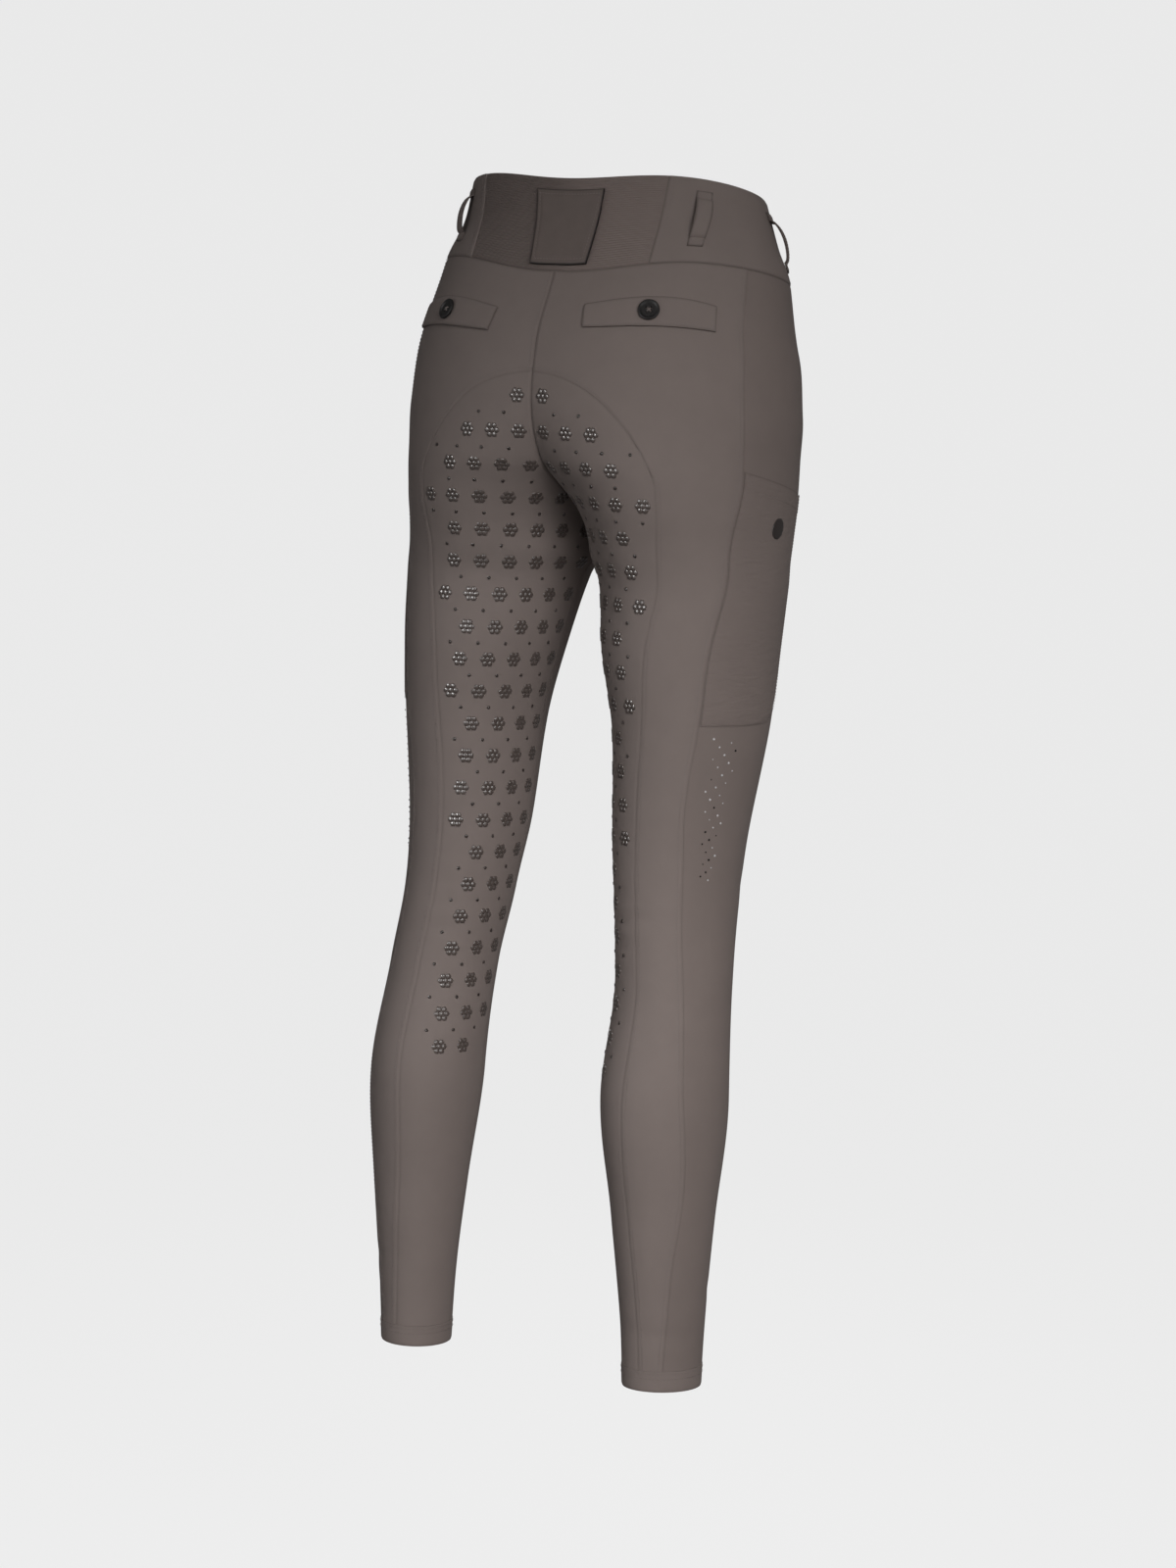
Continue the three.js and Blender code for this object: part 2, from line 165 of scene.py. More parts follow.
class Curve:
    """A smooth curve through a table's points that never swings past them."""

    def __init__(self, points: Sequence[Sequence[float]]) -> None:
        """Sorts the points by level and finds their slopes.

        Args:
            points: pairs of a level and a value.
        """
        table = np.array(sorted((float(p[0]), float(p[1])) for p in points))
        self.x, self.y = table[:, 0], table[:, 1]
        widths = np.diff(self.x)
        slopes = np.diff(self.y) / widths
        weight_before = 2 * widths[1:] + widths[:-1]
        weight_after = widths[1:] + 2 * widths[:-1]
        same_way = slopes[:-1] * slopes[1:] > 0
        before = np.where(same_way, slopes[:-1], 1)
        after = np.where(same_way, slopes[1:], 1)
        mean = (weight_before + weight_after) / (weight_before / before + weight_after / after)
        inner = np.where(same_way, mean, 0)
        self.slope = np.concatenate([slopes[:1], inner, slopes[-1:]])

    def __call__(self, level: Numbers) -> np.ndarray:
        """Returns the values at these levels."""
        at = np.clip(level, self.x[0], self.x[-1])
        k = np.clip(np.searchsorted(self.x, at) - 1, 0, len(self.x) - 2)
        width = self.x[k + 1] - self.x[k]
        t = (at - self.x[k]) / width
        rest = 1 - t
        low = rest**2 * ((1 + 2 * t) * self.y[k] + t * width * self.slope[k])
        high = t**2 * ((3 - 2 * t) * self.y[k + 1] - rest * width * self.slope[k + 1])
        return low + high


class Form:
    """The surface that all the cloth lies on: the left half, which the right half mirrors."""

    ROW_STEP = 2.0
    SAMPLES = 480

    def __init__(self) -> None:
        """Makes the curves of the sizes and measures every ring once."""
        fields = Section._fields[1:]
        self.curves = {name: Curve([(s.level, getattr(s, name)) for s in SECTIONS]) for name in fields}
        self.rows = np.arange(HEM, WAIST_TOP + self.ROW_STEP, self.ROW_STEP)
        shares = np.linspace(0, 1, self.SAMPLES)
        over = self.overhang(self.rows)[:, None]
        angles = -over + shares * (180 + 2 * over)
        points = self.point(self.rows[:, None] + 0 * angles, angles)
        steps = np.linalg.norm(np.diff(points, axis=1), axis=2)
        arcs = np.concatenate([np.zeros((len(self.rows), 1)), np.cumsum(steps, axis=1)], axis=1)
        self.girths = arcs[:, -1]
        self.arc_shares = arcs / self.girths[:, None]
        self.angles = np.array([np.interp(shares, s, a) for s, a in zip(self.arc_shares, angles)])

    def overhang(self, level: Numbers) -> np.ndarray:
        """How far the section runs past straight ahead before the middle plane, or 90 on a leg."""
        ratio = self.curves["middle"](level) / self.curves["half"](level)
        return np.degrees(np.arcsin(np.minimum(1, ratio)))

    def point(self, level: Numbers, angle: Numbers) -> np.ndarray:
        """Places points of the left half.

        Args:
            level: heights at the side of the body.
            angle: degrees round the section from the front.

        Returns:
            Their X, Y and Z in the last axis.
        """
        size = {name: curve(level) for name, curve in self.curves.items()}
        sine, cosine = np.sin(np.radians(angle)), np.cos(np.radians(angle))
        groove = np.where(cosine > 0, size["groove_front"], size["groove_back"])
        fullness = (1 - groove * (1 - np.abs(cosine))) * np.abs(cosine) ** size["hollow"]
        inward = np.sign(cosine) * fullness
        reach = np.where(sine < 0, inward, cosine)
        across = size["half"] * sine
        along = -reach * np.where(cosine > 0, size["front"], size["back"])
        turn = np.radians(size["turn"])
        x = size["middle"] + across * np.cos(turn) - along * np.sin(turn)
        y = across * np.sin(turn) + along * np.cos(turn)
        dip = size["dip"] * np.exp(-(((180 - angle) / DIP_SPREAD) ** 2))
        return np.stack([x, size["axis"] + y, level + size["tilt"] * y - dip], axis=-1)

    def normal(self, level: Numbers, angle: Numbers) -> np.ndarray:
        """Returns the outward direction at points of the left half."""
        near = np.clip(level, HEM + 1, WAIST_TOP - 1)
        around = self.point(near, angle + 0.5) - self.point(near, angle - 0.5)
        up = self.point(near + 1, angle) - self.point(near - 1, angle)
        out = np.cross(around, up)
        return out / np.linalg.norm(out, axis=-1, keepdims=True)

    def girth(self, level: Numbers) -> np.ndarray:
        """Returns the length of the half's section at these levels."""
        return np.interp(level, self.rows, self.girths)

    def _between(self, table: np.ndarray, level: Numbers, share: np.ndarray) -> np.ndarray:
        """Reads a table of rows by share, between its entries."""
        row = np.clip((level - self.rows[0]) / self.ROW_STEP, 0, len(self.rows) - 1.001)
        column = np.clip(share, 0, 1) * (self.SAMPLES - 1.001)
        r, c = row.astype(int), column.astype(int)
        fr, fc = row - r, column - c
        low = table[r, c] * (1 - fc) + table[r, c + 1] * fc
        high = table[r + 1, c] * (1 - fc) + table[r + 1, c + 1] * fc
        return low * (1 - fr) + high * fr

    def angle(self, level: Numbers, arc: Numbers) -> np.ndarray:
        """Returns the angle at a distance round the section from its front edge."""
        return self._between(self.angles, level, arc / self.girth(level))

    def arc(self, level: Numbers, angle: Numbers) -> np.ndarray:
        """Returns the distance round the section at an angle."""
        over = self.overhang(level)
        share = (angle + over) / (180 + 2 * over)
        return self._between(self.arc_shares, level, share) * self.girth(level)


FORM = Form()
seat_angle = Curve(SEAT_SEAM)
side_angle = Curve(SIDE_SEAM)


def side_arc(level: Numbers) -> np.ndarray:
    """Returns the side seam's distance round the section from its front edge."""
    return FORM.arc(level, side_angle(level))


def seat_arc(level: Numbers) -> np.ndarray:
    """Returns the same for the seat seam, which runs straight up over the arch's foot."""
    return FORM.arc(level, seat_angle(np.minimum(level, ARCH_FOOT)))


def arch_level(part: Numbers) -> np.ndarray:
    """Returns the arch's level, from its foot at 0 to its top in the middle at 1."""
    return ARCH_FOOT + (ARCH_TOP - ARCH_FOOT) * np.sqrt(1 - (1 - part) ** 2)


@dataclass(frozen=True)
class Crease:
    """A soft trough, or a ridge where depth is below 0, placed on one half."""

    level: float
    angle: float
    length: float
    width: float
    depth: float
    slope: float = 0.0

    def lift(self, level: Numbers, arc: Numbers) -> np.ndarray:
        """Returns how far it raises the cloth at these places."""
        centre = FORM.arc(self.level, self.angle)
        across, up = arc - centre, level - self.level
        tilt = math.radians(self.slope)
        along = across * math.cos(tilt) + up * math.sin(tilt)
        over = up * math.cos(tilt) - across * math.sin(tilt)
        shape = np.exp(-((over / self.width) ** 2) - (2 * along / self.length) ** 4)
        return -self.depth * shape


CREASES = {
    Side.L: (
        Crease(-546, 186, 66, 6, 0.8, 6),
        Crease(-563, 196, 80, 7, 1.0, -4),
        Crease(-584, 182, 58, 6, 0.7, 9),
        Crease(-281, 196, 90, 8, 1.0, 24),
        Crease(-304, 205, 70, 9, 0.8, 30),
        Crease(-252, 8, 62, 6, 1.0, -36),
        Crease(-272, 2, 76, 7, 0.9, -28),
        Crease(-870, 120, 90, 7, 0.5, 5),
        Crease(-893, 60, 70, 6, 0.5, -6),
        Crease(-528, 30, 70, 9, 0.5, 12),
    ),
    Side.R: (
        Crease(-541, 190, 60, 6, 0.7, 4),
        Crease(-560, 184, 84, 7, 1.0, -6),
        Crease(-579, 198, 50, 6, 0.8, 8),
        Crease(-279, 200, 80, 8, 0.9, 27),
        Crease(-309, 202, 64, 8, 0.8, 26),
        Crease(-249, 5, 58, 6, 0.9, -33),
        Crease(-270, 6, 80, 7, 1.0, -25),
        Crease(-866, 70, 80, 7, 0.5, -5),
        Crease(-897, 140, 70, 6, 0.5, 4),
        Crease(-534, 40, 60, 9, 0.5, 10),
    ),
}


UNEVEN_PHASE = {Side.L: 1.3, Side.R: 4.1}
SLOW_HEIGHT = 0.22
QUICK_HEIGHT = 0.07


def relief(level: Numbers, arc: Numbers, side: Side) -> np.ndarray:
    """Returns the lift of the creases and of the cloth's slight unevenness."""
    lift = sum(crease.lift(level, arc) for crease in CREASES[side])
    phase = UNEVEN_PHASE[side]
    slow = np.sin(level / 41 + phase) * np.sin(arc / 37 + 2.2 * phase)
    quick = np.sin(level / 17 + 0.04 * arc + phase) * np.sin(arc / 23 - phase)
    return lift + SLOW_HEIGHT * slow + QUICK_HEIGHT * quick


class Spots(NamedTuple):
    """Places on one half: levels and distances round the section, in arrays of one shape."""

    level: np.ndarray
    arc: np.ndarray

    def flat(self) -> "Spots":
        """Returns the same places in one row."""
        return Spots(self.level.ravel(), self.arc.ravel())


def in_rows(level: np.ndarray, arcs: np.ndarray) -> Spots:
    """Returns a grid of places with a level for each row."""
    return Spots(np.broadcast_to(level[:, None], arcs.shape), arcs)


def on_cloth(spots: Spots, side: Side, lift: Numbers = 0.0, apart: float = 0.0) -> np.ndarray:
    """Places points at a lift off the cloth's surface, in millimetres.

    Args:
        spots: where they are on the half.
        side: the half.
        lift: how far outwards.
        apart: how far the half stands off the middle plane.

    Returns:
        Their X, Y and Z in the last axis.
    """
    angle = FORM.angle(spots.level, spots.arc)
    out = FORM.normal(spots.level, angle)
    point = FORM.point(spots.level, angle) + out * np.asarray(lift)[..., None]
    return (point + (apart, 0, 0)) * (side.value, 1, 1)


def outward(spots: Spots, side: Side) -> np.ndarray:
    """Returns the outward directions at places on one half."""
    return FORM.normal(spots.level, FORM.angle(spots.level, spots.arc)) * (side.value, 1, 1)


@dataclass(frozen=True)
class Edge:
    """A seam that cloth runs into. It sinks there, and may be padded by its turnings beside it."""

    path: Spots
    sink: float = 0.24
    roll: float = 1.2
    # tone: how dark the painted shade along this seam is.
    tone: float = 0.16
    pad: float = 0.0
    turning: float = 6.0
    shoulder: float = 1.6

    def lift(self, points: np.ndarray, side: Side) -> tuple[np.ndarray, np.ndarray]:
        """Measures points of the cloth against the seam.

        Args:
            points: places in millimetres, in rows.
            side: the half that the path is on.

        Returns:
            The lift at each point, and the painted shade along the seam there, from 0 to 1.
        """
        seam = dense(on_cloth(self.path, side))
        tree = kdtree.KDTree(len(seam))
        for k, place in enumerate(seam):
            tree.insert(place, k)
        tree.balance()
        away = np.array([tree.find(point)[2] for point in points])
        near = np.exp(-((away / self.roll) ** 2))
        step = np.clip((self.turning - away) / self.shoulder, 0, 1)
        padded = self.pad * step * step * (3 - 2 * step)
        return padded - (self.sink + self.pad) * near, near * self.tone


def dense(path: np.ndarray, step: float = 0.8) -> np.ndarray:
    """Returns a path's points again at an even spacing."""
    steps = np.linalg.norm(np.diff(path, axis=0), axis=1)
    along = np.concatenate([[0], np.cumsum(steps)])
    at = np.linspace(0, along[-1], max(2, int(along[-1] / step)))
    return np.stack([np.interp(at, along, path[:, k]) for k in range(3)], axis=1)


def seamed(points: np.ndarray, side: Side, edges: Sequence[Edge]) -> tuple[np.ndarray, np.ndarray]:
    """Returns the lift that seams give to points of the cloth, and the painted shade at each point,
    stronger close to a seam.
    """
    lift, near = np.zeros(len(points)), np.zeros(len(points))
    for edge in edges:
        raised, close = edge.lift(points, side)
        lift += raised
        near = np.maximum(near, close)
    return lift, near


NEAR_EDGE = (0.0, 0.4, 0.9, 1.5, 2.3, 3.4)


def steps_across(width: Numbers, step: float) -> np.ndarray:
    """Divides widths into columns that lie close together near both edges.

    Args:
        width: the widths, of any shape.
        step: about the spacing between the edges.

    Returns:
        The columns' places from one edge, in a new last axis.
    """
    near = np.array(NEAR_EDGE)
    count = max(2, int((np.max(width) - 2 * near[-1]) / step))
    inner = np.linspace(0, 1, count + 1)[1:-1]
    wide = np.asarray(width, float)[..., None]
    middle = near[-1] + (wide - 2 * near[-1]) * inner
    return np.concatenate([near + 0 * wide, middle, wide - near[::-1]], axis=-1)


def rows_down(top: float, bottom: float, step: float) -> np.ndarray:
    """Returns levels from top to bottom, close together near both."""
    return top - steps_across(top - bottom, step)


def srgb(red: int, green: int, blue: int) -> Colour:
    """Returns a screen colour, 0 to 255 in each part, as a linear one."""
    parts = [c / 255 for c in (red, green, blue)]
    linear = [c / 12.92 if c <= 0.04045 else ((c + 0.055) / 1.055) ** 2.4 for c in parts]
    return (*linear, 1.0)


def scaled(colour: Colour, by: float) -> Colour:
    """Returns a colour made lighter or darker."""
    return (*(min(1.0, c * by) for c in colour[:3]), 1.0)


class Value:
    """A number that varies over a surface. Sums and products of it add Math nodes."""

    def __init__(self, nodes: "Nodes", socket: Socket) -> None:
        """Wraps a socket of these nodes."""
        self.nodes = nodes
        self.socket = socket

    def _math(self, operation: str, other: "Value | float") -> "Value":
        """Adds a Math node for this value and another."""
        return self.nodes.value("ShaderNodeMath", {"operation": operation}, {0: self, 1: other})

    def __add__(self, other: "Value | float") -> "Value":
        """Returns the sum."""
        return self._math("ADD", other)

    def __mul__(self, other: "Value | float") -> "Value":
        """Returns the product."""
        return self._math("MULTIPLY", other)

    def sine(self) -> "Value":
        """Returns the sine."""
        return self._math("SINE", 0.0)


class Nodes:
    """Makes the nodes of one tree."""

    def __init__(self, tree: bpy.types.NodeTree) -> None:
        """Starts with a tree."""
        self.tree = tree

    def make(self, kind: str, settings: dict | None = None, inputs: dict | None = None) -> bpy.types.Node:
        """Adds a node.

        Args:
            kind: the node's type.
            settings: its own settings.
            inputs: values, sockets or Values by the socket's name or number.

        Returns:
            The node.
        """
        node = self.tree.nodes.new(kind)
        for name, setting in (settings or {}).items():
            setattr(node, name, setting)
        for name, given in (inputs or {}).items():
            socket = given.socket if isinstance(given, Value) else given
            if isinstance(socket, Socket):
                self.tree.links.new(socket, node.inputs[name])
            else:
                node.inputs[name].default_value = socket
        return node

    def out(self, kind: str, settings: dict | None = None, inputs: dict | None = None) -> Socket:
        """Adds a node and returns its first output."""
        return self.make(kind, settings, inputs).outputs[0]

    def value(self, kind: str, settings: dict | None, inputs: dict | None) -> Value:
        """Adds a node and returns its first output as a Value."""
        return Value(self, self.out(kind, settings, inputs))

    def mixed(self, factor: Value | float, first: object, second: object) -> Socket:
        """Returns a colour between two colours."""
        settings = {"data_type": "RGBA"}
        return self.make("ShaderNodeMix", settings, {0: factor, 6: first, 7: second}).outputs[2]

    def place(self) -> Socket:
        """Returns the place in the object's own space."""
        return self.make("ShaderNodeTexCoord").outputs["Object"]

    def noise(self, place: Socket, scale: float, detail: float, distortion: float = 0.0) -> Value:
        """Returns a noise over a surface."""
        inputs = {"Vector": place, "Scale": scale, "Detail": detail, "Distortion": distortion}
        return self.value("ShaderNodeTexNoise", None, inputs)

    def seam(self) -> Value:
        """Returns how close to a seam or edge each place is, which sets its painted shade."""
        node = self.make("ShaderNodeAttribute", {"attribute_name": "seam"})
        return Value(self, node.outputs["Fac"])

    def stored(self, name: str, kind: str = "FLOAT_VECTOR") -> Socket:
        """Returns what the points of a shape hold under this name."""
        return self.out("GeometryNodeInputNamedAttribute", {"data_type": kind}, {"Name": name})

    def bump(self, height: Value, distance: float, **more: object) -> Socket:
        """Returns a normal that follows a height, in metres."""
        inputs = {"Height": height, "Distance": distance, "Strength": 1.0, **more}
        return self.out("ShaderNodeBump", None, inputs)


@dataclass(frozen=True)
class Finish:
    """How a surface looks. Each kind of finish adds its own nodes."""

    name: str
    colour: Colour
    roughness: float = 0.7
    gloss: float = 0.5
    sheen: float = 0.0
    coat: float = 0.0
    metallic: float = 0.0
    glow: float = 0.0

    def material(self) -> bpy.types.Material:
        """Returns the finish's material, made once."""
        found = bpy.data.materials.get(self.name)
        if found:
            return found
        made = bpy.data.materials.new(self.name)
        made.use_nodes = True
        made.node_tree.nodes.clear()
        nodes = Nodes(made.node_tree)
        fixed = {
            "Base Color": self.colour,
            "Roughness": self.roughness,
            "Metallic": self.metallic,
            "Sheen Weight": self.sheen,
            "Sheen Roughness": 0.5,
            "Specular IOR Level": self.gloss,
            "Coat Weight": self.coat,
            "Coat Roughness": 0.12,
            "Emission Color": (1, 1, 1, 1),
            "Emission Strength": self.glow,
        }
        surface = nodes.out("ShaderNodeBsdfPrincipled", None, {**fixed, **self.varied(nodes)})
        nodes.make("ShaderNodeOutputMaterial", None, {"Surface": surface})
        return made

    def varied(self, nodes: Nodes) -> dict:
        """Returns the inputs that change over the surface."""
        return {}

    def tones(self, nodes: Nodes, amount: float, scale: float) -> Socket:
        """Returns the colour, a little lighter and darker from place to place."""
        slow = nodes.noise(nodes.place(), scale, 3.0)
        return nodes.mixed(slow, scaled(self.colour, 1 - amount), scaled(self.colour, 1 + amount))


@dataclass(frozen=True)
class KnitFinish(Finish):
    """Smooth stretch cloth: fine wales along the leg, a heathered tone and painted shade along its seams
    and edges.
    """

    wale: float = 0.9
    crinkle: float = 0.0
    rib: float = 0.0
    # How much painted shade darkens the cloth towards the wearer's left.
    fade: float = 0.0
    # How dark the painted shade along seams and edges makes the cloth.
    painted_seam_shade: float = 0.55

    def varied(self, nodes: Nodes) -> dict:
        """Returns the knit's colour, roughness and relief."""
        grain = nodes.out("ShaderNodeUVMap", {"uv_map": "grain"})
        parts = nodes.make("ShaderNodeSeparateXYZ", None, {0: grain})
        across, up = Value(nodes, parts.outputs[0]), Value(nodes, parts.outputs[1])
        fuzz = nodes.noise(grain, 900.0, 4.0)
        normal = nodes.bump(self._relief(across, up, fuzz), 0.07 * MM)
        if self.crinkle:
            normal = self._crinkled(nodes, grain, normal)
        heather = nodes.mixed(fuzz, self.tones(nodes, 0.05, 14.0), self.tones(nodes, 0.1, 60.0))
        rough = fuzz * 0.12 + (self.roughness - 0.06)
        # Painted shade: the colour darkens along seams and edges, and on the elastic towards the wearer's
        # left.
        painted_shade_colour = scaled(self.colour, self.painted_seam_shade)
        shaded = nodes.mixed(nodes.seam(), self._shade_towards_left(nodes, across, heather), painted_shade_colour)
        return {"Base Color": shaded, "Roughness": rough, "Normal": normal}

    def _relief(self, across: Value, up: Value, fuzz: Value) -> Value:
        """Returns the height of the wales, courses, fuzz and ribs."""
        per_wale = 2 * math.pi / (self.wale * MM)
        wales = (across * per_wale + (up * (0.5 * per_wale)).sine() * 0.8).sine()
        courses = (up * (1.3 * per_wale)).sine()
        height = wales * 0.5 + courses * 0.35 + fuzz * 1.2
        if self.rib:
            height = height + (up * (2 * math.pi / (self.rib * MM))).sine() * 2.2
        return height

    def _shade_towards_left(self, nodes: Nodes, across: Value, colour: Socket) -> Socket:
        """Darkens a colour towards the wearer's left with painted shade, where the elastic turns from the
        light.
        """
        if not self.fade:
            return colour
        inputs = {"Value": across, "From Min": -0.02, "From Max": 0.02, "To Min": 0.0, "To Max": self.fade}
        left = nodes.value("ShaderNodeMapRange", {"interpolation_type": "SMOOTHSTEP"}, inputs)
        return nodes.mixed(left, colour, (0, 0, 0, 1))

    def _crinkled(self, nodes: Nodes, grain: Socket, normal: Socket) -> Socket:
        """Adds faint crosswise crinkles over a normal."""
        flat = nodes.out("ShaderNodeMapping", None, {"Vector": grain, "Scale": (75, 210, 1)})
        return nodes.bump(nodes.noise(flat, 1.0, 3.0), self.crinkle * MM, Normal=normal)


@dataclass(frozen=True)
class HideFinish(Finish):
    """Smooth leather with a fine pebbled grain and painted shade along its edges."""

    # The dark colour of the painted shade along the cut edges.
    edge: Colour = (0.02, 0.017, 0.016, 1)

    def varied(self, nodes: Nodes) -> dict:
        """Returns the leather's colour, roughness and grain."""
        place = nodes.place()
        cells = nodes.value("ShaderNodeTexVoronoi", None, {"Vector": place, "Scale": 1400.0})
        pores = nodes.noise(place, 2600.0, 2.0)
        rough = cells * 0.2 + (self.roughness - 0.08)
        normal = nodes.bump(cells + pores * 0.5, 0.08 * MM)
        # Painted shade: the cut edges darken to the edge colour.
        colour = nodes.mixed(nodes.seam(), self.tones(nodes, 0.08, 90.0), self.edge)
        return {"Base Color": colour, "Roughness": rough, "Normal": normal}


@dataclass(frozen=True)
class HornFinish(Finish):
    """Polished dark horn with faint lighter streaks."""

    streak: Colour = (0.014, 0.012, 0.011, 1)

    def varied(self, nodes: Nodes) -> dict:
        """Returns the streaked colour and a polish that wears unevenly."""
        streaks = nodes.noise(nodes.place(), 240.0, 4.0, 1.5)
        colour = nodes.mixed(streaks, self.colour, self.streak)
        return {"Base Color": colour, "Roughness": streaks * 0.15 + (self.roughness - 0.07)}


@dataclass(frozen=True)
class PrintFinish(Finish):
    """Printed silicone, a little uneven in gloss."""

    def varied(self, nodes: Nodes) -> dict:
        """Returns a colour and gloss that vary from print to print."""
        place = nodes.place()
        rough = nodes.noise(place, 45.0, 1.0) * 0.3 + (self.roughness - 0.15)
        normal = nodes.bump(nodes.noise(place, 1500.0, 2.0), 0.06 * MM)
        return {"Base Color": self.tones(nodes, 0.12, 35.0), "Roughness": rough, "Normal": normal}


@dataclass(frozen=True)
class ThreadFinish(Finish):
    """Twisted sewing thread."""

    def varied(self, nodes: Nodes) -> dict:
        """Returns the thread's colour and the relief of its twist."""
        inputs = {"Vector": nodes.place(), "Scale": 900.0, "Distortion": 2.0}
        twist = Value(nodes, nodes.make("ShaderNodeTexWave", None, inputs).outputs["Fac"])
        return {"Base Color": self.tones(nodes, 0.12, 400.0), "Normal": nodes.bump(twist, 0.05 * MM)}


CLOTH = KnitFinish("stretch_cloth", srgb(110, 100, 96), 0.78, 0.1, 0.02)
FRONT_CLOTH = KnitFinish("stretch_cloth_front", srgb(106, 96, 92), 0.78, 0.1, 0.02)
POCKET_CLOTH = KnitFinish("pocket_cloth", srgb(106, 96, 92), 0.78, 0.1, 0.02, crinkle=0.9)
# The elastic carries painted shade towards the wearer's left.
RIB = KnitFinish("ribbed_elastic", srgb(111, 100, 96), 0.85, 0.08, 0.02, rib=1.6, fade=0.24)
HIDE = HideFinish("label_leather", srgb(91, 81, 77), 0.7, 0.14)
HORN = HornFinish("dark_horn", srgb(12, 11, 11), 0.5, 0.2)
SILICONE = PrintFinish("printed_silicone", srgb(70, 61, 57), 0.36)
BADGE = PrintFinish("moulded_mark", srgb(40, 34, 32), 0.45)
THREAD = ThreadFinish("sewing_thread", srgb(97, 87, 83), 0.65)
# The light stones glow a little: a painted glint, standing in for light caught by their facets.
STONE = Finish("cut_stone", srgb(205, 202, 202), 0.12, metallic=0.7, coat=0.5, glow=0.16)
DARK_STONE = Finish("dark_cut_stone", srgb(34, 30, 30), 0.12, metallic=0.4, coat=0.5)


@dataclass(frozen=True)
class Cut:
    """The flat cut of a piece of cloth, in metres, and its area where that isn't a rectangle."""

    width: float
    length: float
    area: float | None = None


FRONT_CUT = Cut(0.33, 0.91, 0.187)
BACK_CUT = Cut(0.16, 0.91, 0.057)
SEAT_CUT = Cut(0.17, 0.83, 0.076)
HEM_CUT = Cut(0.2, 0.02)
BAND_CUT = Cut(0.29, 0.068, 0.019)
INSERT_CUT = Cut(0.16, 0.066)
POCKET_CUT = Cut(0.11, 0.225, 0.0215)
FLAP_CUT = Cut(0.113, 0.03, 0.003)
FLY_CUT = Cut(0.04, 0.14, 0.0048)
TAB_CUT = Cut(0.07, 0.055)


@dataclass
class Cloth:
    """Builds one piece of cloth as a thin shell from grids of places on a half."""

    name: str
    grids: list[Spots]
    finish: Finish
    node: str
    cut: Cut
    low: float = -WALL
    high: float = 0.0
    edges: list[Edge] = field(default_factory=list)
    shape: Callable[[Spots], np.ndarray] | None = None

    def build(self, side: Side) -> None:
        """Makes the piece on one half."""
        outer, inner, grain, seam = [], [], [], []
        faces: list[Face] = []
        start = 0
        for spots in self.grids:
            flat = spots.flat()
            lift, near = self._lift(flat, side)
            outer.append(self._placed(flat, side, lift))
            inner.append(self._placed(flat, side, lift - (self.high - self.low)))
            grain.append(np.stack([flat.arc, flat.level], axis=1) * MM)
            seam.append(near)
            faces += grid_faces(spots.level.shape, start, side is Side.R)
            start += flat.level.size
        both = [np.concatenate(part) for part in (outer, inner, grain, seam)]
        dress(shell(self.name, *both, faces), self.finish, self.node)

    def _placed(self, spots: Spots, side: Side, lift: np.ndarray) -> np.ndarray:
        """Returns the points of a face. Above the fork its edge meets the other half's."""
        points = on_cloth(spots, side, lift, HALVES_APART)
        ends = np.minimum(np.abs(spots.arc), np.abs(FORM.girth(spots.level) - spots.arc))
        points[(ends < HALVES_APART) & (spots.level > FORK), 0] = HALVES_APART * side.value
        return points

    def _lift(self, spots: Spots, side: Side) -> tuple[np.ndarray, np.ndarray]:
        """Returns the outer face's lift at places of the half, and the painted shade at each, stronger
        close to a seam.
        """
        lift = self.high + relief(spots.level, spots.arc, side)
        if self.shape:
            lift = lift + self.shape(spots)
        raised, near = seamed(on_cloth(spots, side), side, self.edges)
        return lift + raised, near


def dress(piece: bpy.types.Object, finish: Finish, node: str, slot: str = "cloth") -> None:
    """Gives a piece its finish and its place in the frame."""
    piece.data.materials.append(finish.material())
    settle(piece, slot, node)
    area = sum(face.area for face in piece.data.polygons) / 2
    log.info("%s: %d faces, %.4f m2 of cloth", piece.name, len(piece.data.polygons), area)


def grid_faces(shape: tuple[int, int], start: int, flipped: bool) -> list[Face]:
    """Returns the quads of a grid of points whose first number is start."""
    rows, columns = shape
    at = start + np.arange(rows * columns).reshape(rows, columns)
    corners = [at[:-1, :-1], at[1:, :-1], at[1:, 1:], at[:-1, 1:]]
    if flipped:
        corners = corners[::-1]
    return [tuple(quad) for quad in np.stack([c.ravel() for c in corners], axis=1).tolist()]


